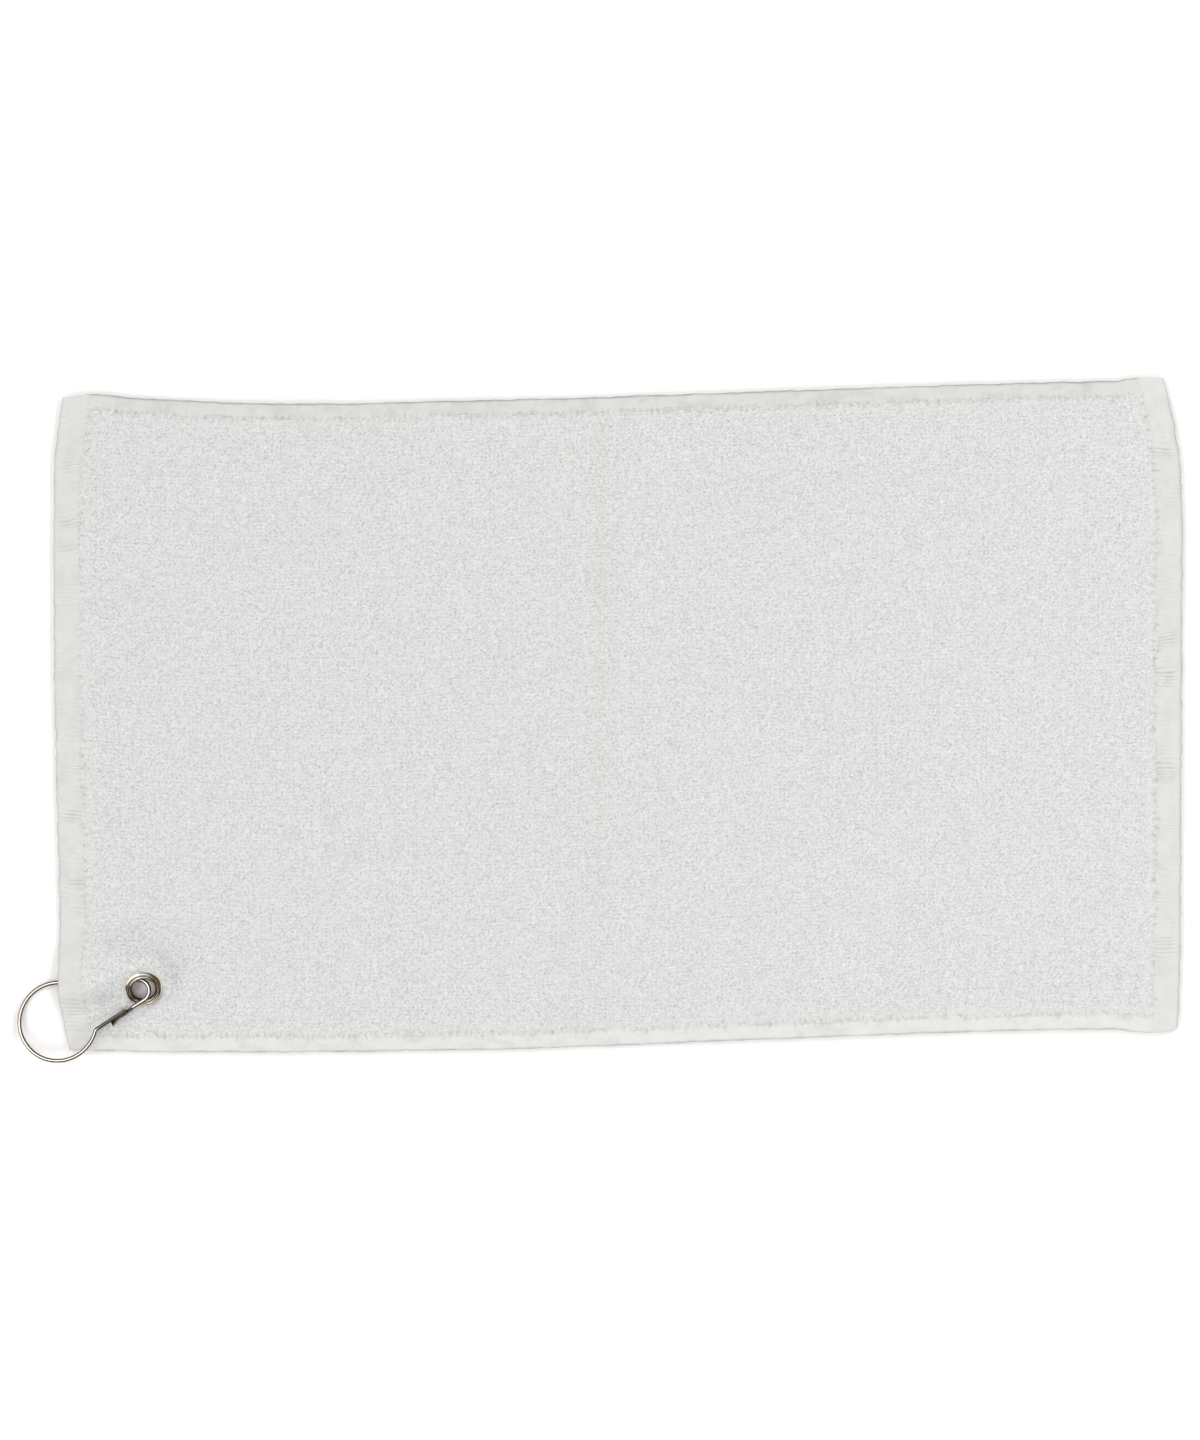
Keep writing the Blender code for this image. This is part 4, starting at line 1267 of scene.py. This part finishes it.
# Lit and shaded copies of one cotton: the bottom hem is painted lighter and the top hem painted darker as
# shade, as if more light falls from the bottom.
lit_bottom_cotton = hem_material("lit_bottom_hem_cotton", (0.695, 0.703, 0.69), (0.61, 0.616, 0.605), (0.5, 0.35))
shaded_top_cotton = hem_material("shaded_top_hem_cotton", (0.645, 0.645, 0.628), (0.557, 0.557, 0.542), (0.5, 0.35))
end_cotton = hem_material("end_hem_cotton", (0.66, 0.664, 0.653), (0.582, 0.586, 0.575), (1.4, 0.28))
cotton_thread = thread_material()
# The grommet is painted dark as shade where it faces down or sideways, and bright where it faces up.
grommet_painted_light_stops = [(0.05, (0.13, 0.10, 0.07)), (0.3, (0.84, 0.77, 0.67)), (0.9, (0.94, 0.89, 0.80))]
# Painted highlight on the wire's top, painted reflection of a dark studio along its sides and pale tan at
# its edges.
clip_painted_light_stops = [(0.0, (0.44, 0.40, 0.34)), (0.5, (0.36, 0.33, 0.28)), (0.66, (0.09, 0.075, 0.055)),
              (0.82, (0.065, 0.055, 0.04)), (0.93, (0.18, 0.16, 0.125)), (0.98, (0.92, 0.86, 0.77))]
grommet_nickel = nickel_material("grommet_nickel", grommet_painted_light_stops, 0.07)
clip_nickel = nickel_material("clip_nickel", clip_painted_light_stops, 0.08)

ground = build_ground()
dress(ground, ground_material())
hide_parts("terry_left", "terry_right")
bend_at_crease(ground)

for tile, start, stop in build_pile():
    dress(tile, terry)
    if stop < -FOLD_REACH:
        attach(tile, "left_half")
    elif start > FOLD_REACH:
        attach(tile, "right_half")
    else:
        bend_at_crease(tile)

for side in ("bottom", "top"):
    hem = build_side_hem(side)
    dress(hem, shaded_top_cotton if side == "top" else lit_bottom_cotton)
    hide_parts(f"side_hem_{side}_left", f"side_hem_{side}_right")
    bend_at_crease(hem)

for half in ("left", "right"):
    hem = build_end_hem(half)
    dress(hem, end_cotton)
    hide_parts(f"end_hem_{half}")
    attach(hem, f"{half}_half")

for seam, body in build_seams():
    dress(seam, cotton_thread)
    if body:
        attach(seam, body)
    else:
        bend_at_crease(seam)

for face, side in (("upper", 1), ("lower", -1)):
    loops = build_border_loops(f"border_loops_{face}", side)
    dress(loops, terry)
    bend_at_crease(loops)

frays = build_frays()
dress(frays, terry)
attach(frays, "left_half")

for metal in build_grommet():
    dress(metal, grommet_nickel)
    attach(metal, "left_half")

clip_piece, gate_piece = build_clip()
for metal in (clip_piece, gate_piece):
    dress(metal, clip_nickel)
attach(clip_piece, "clip")
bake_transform(gate_piece)
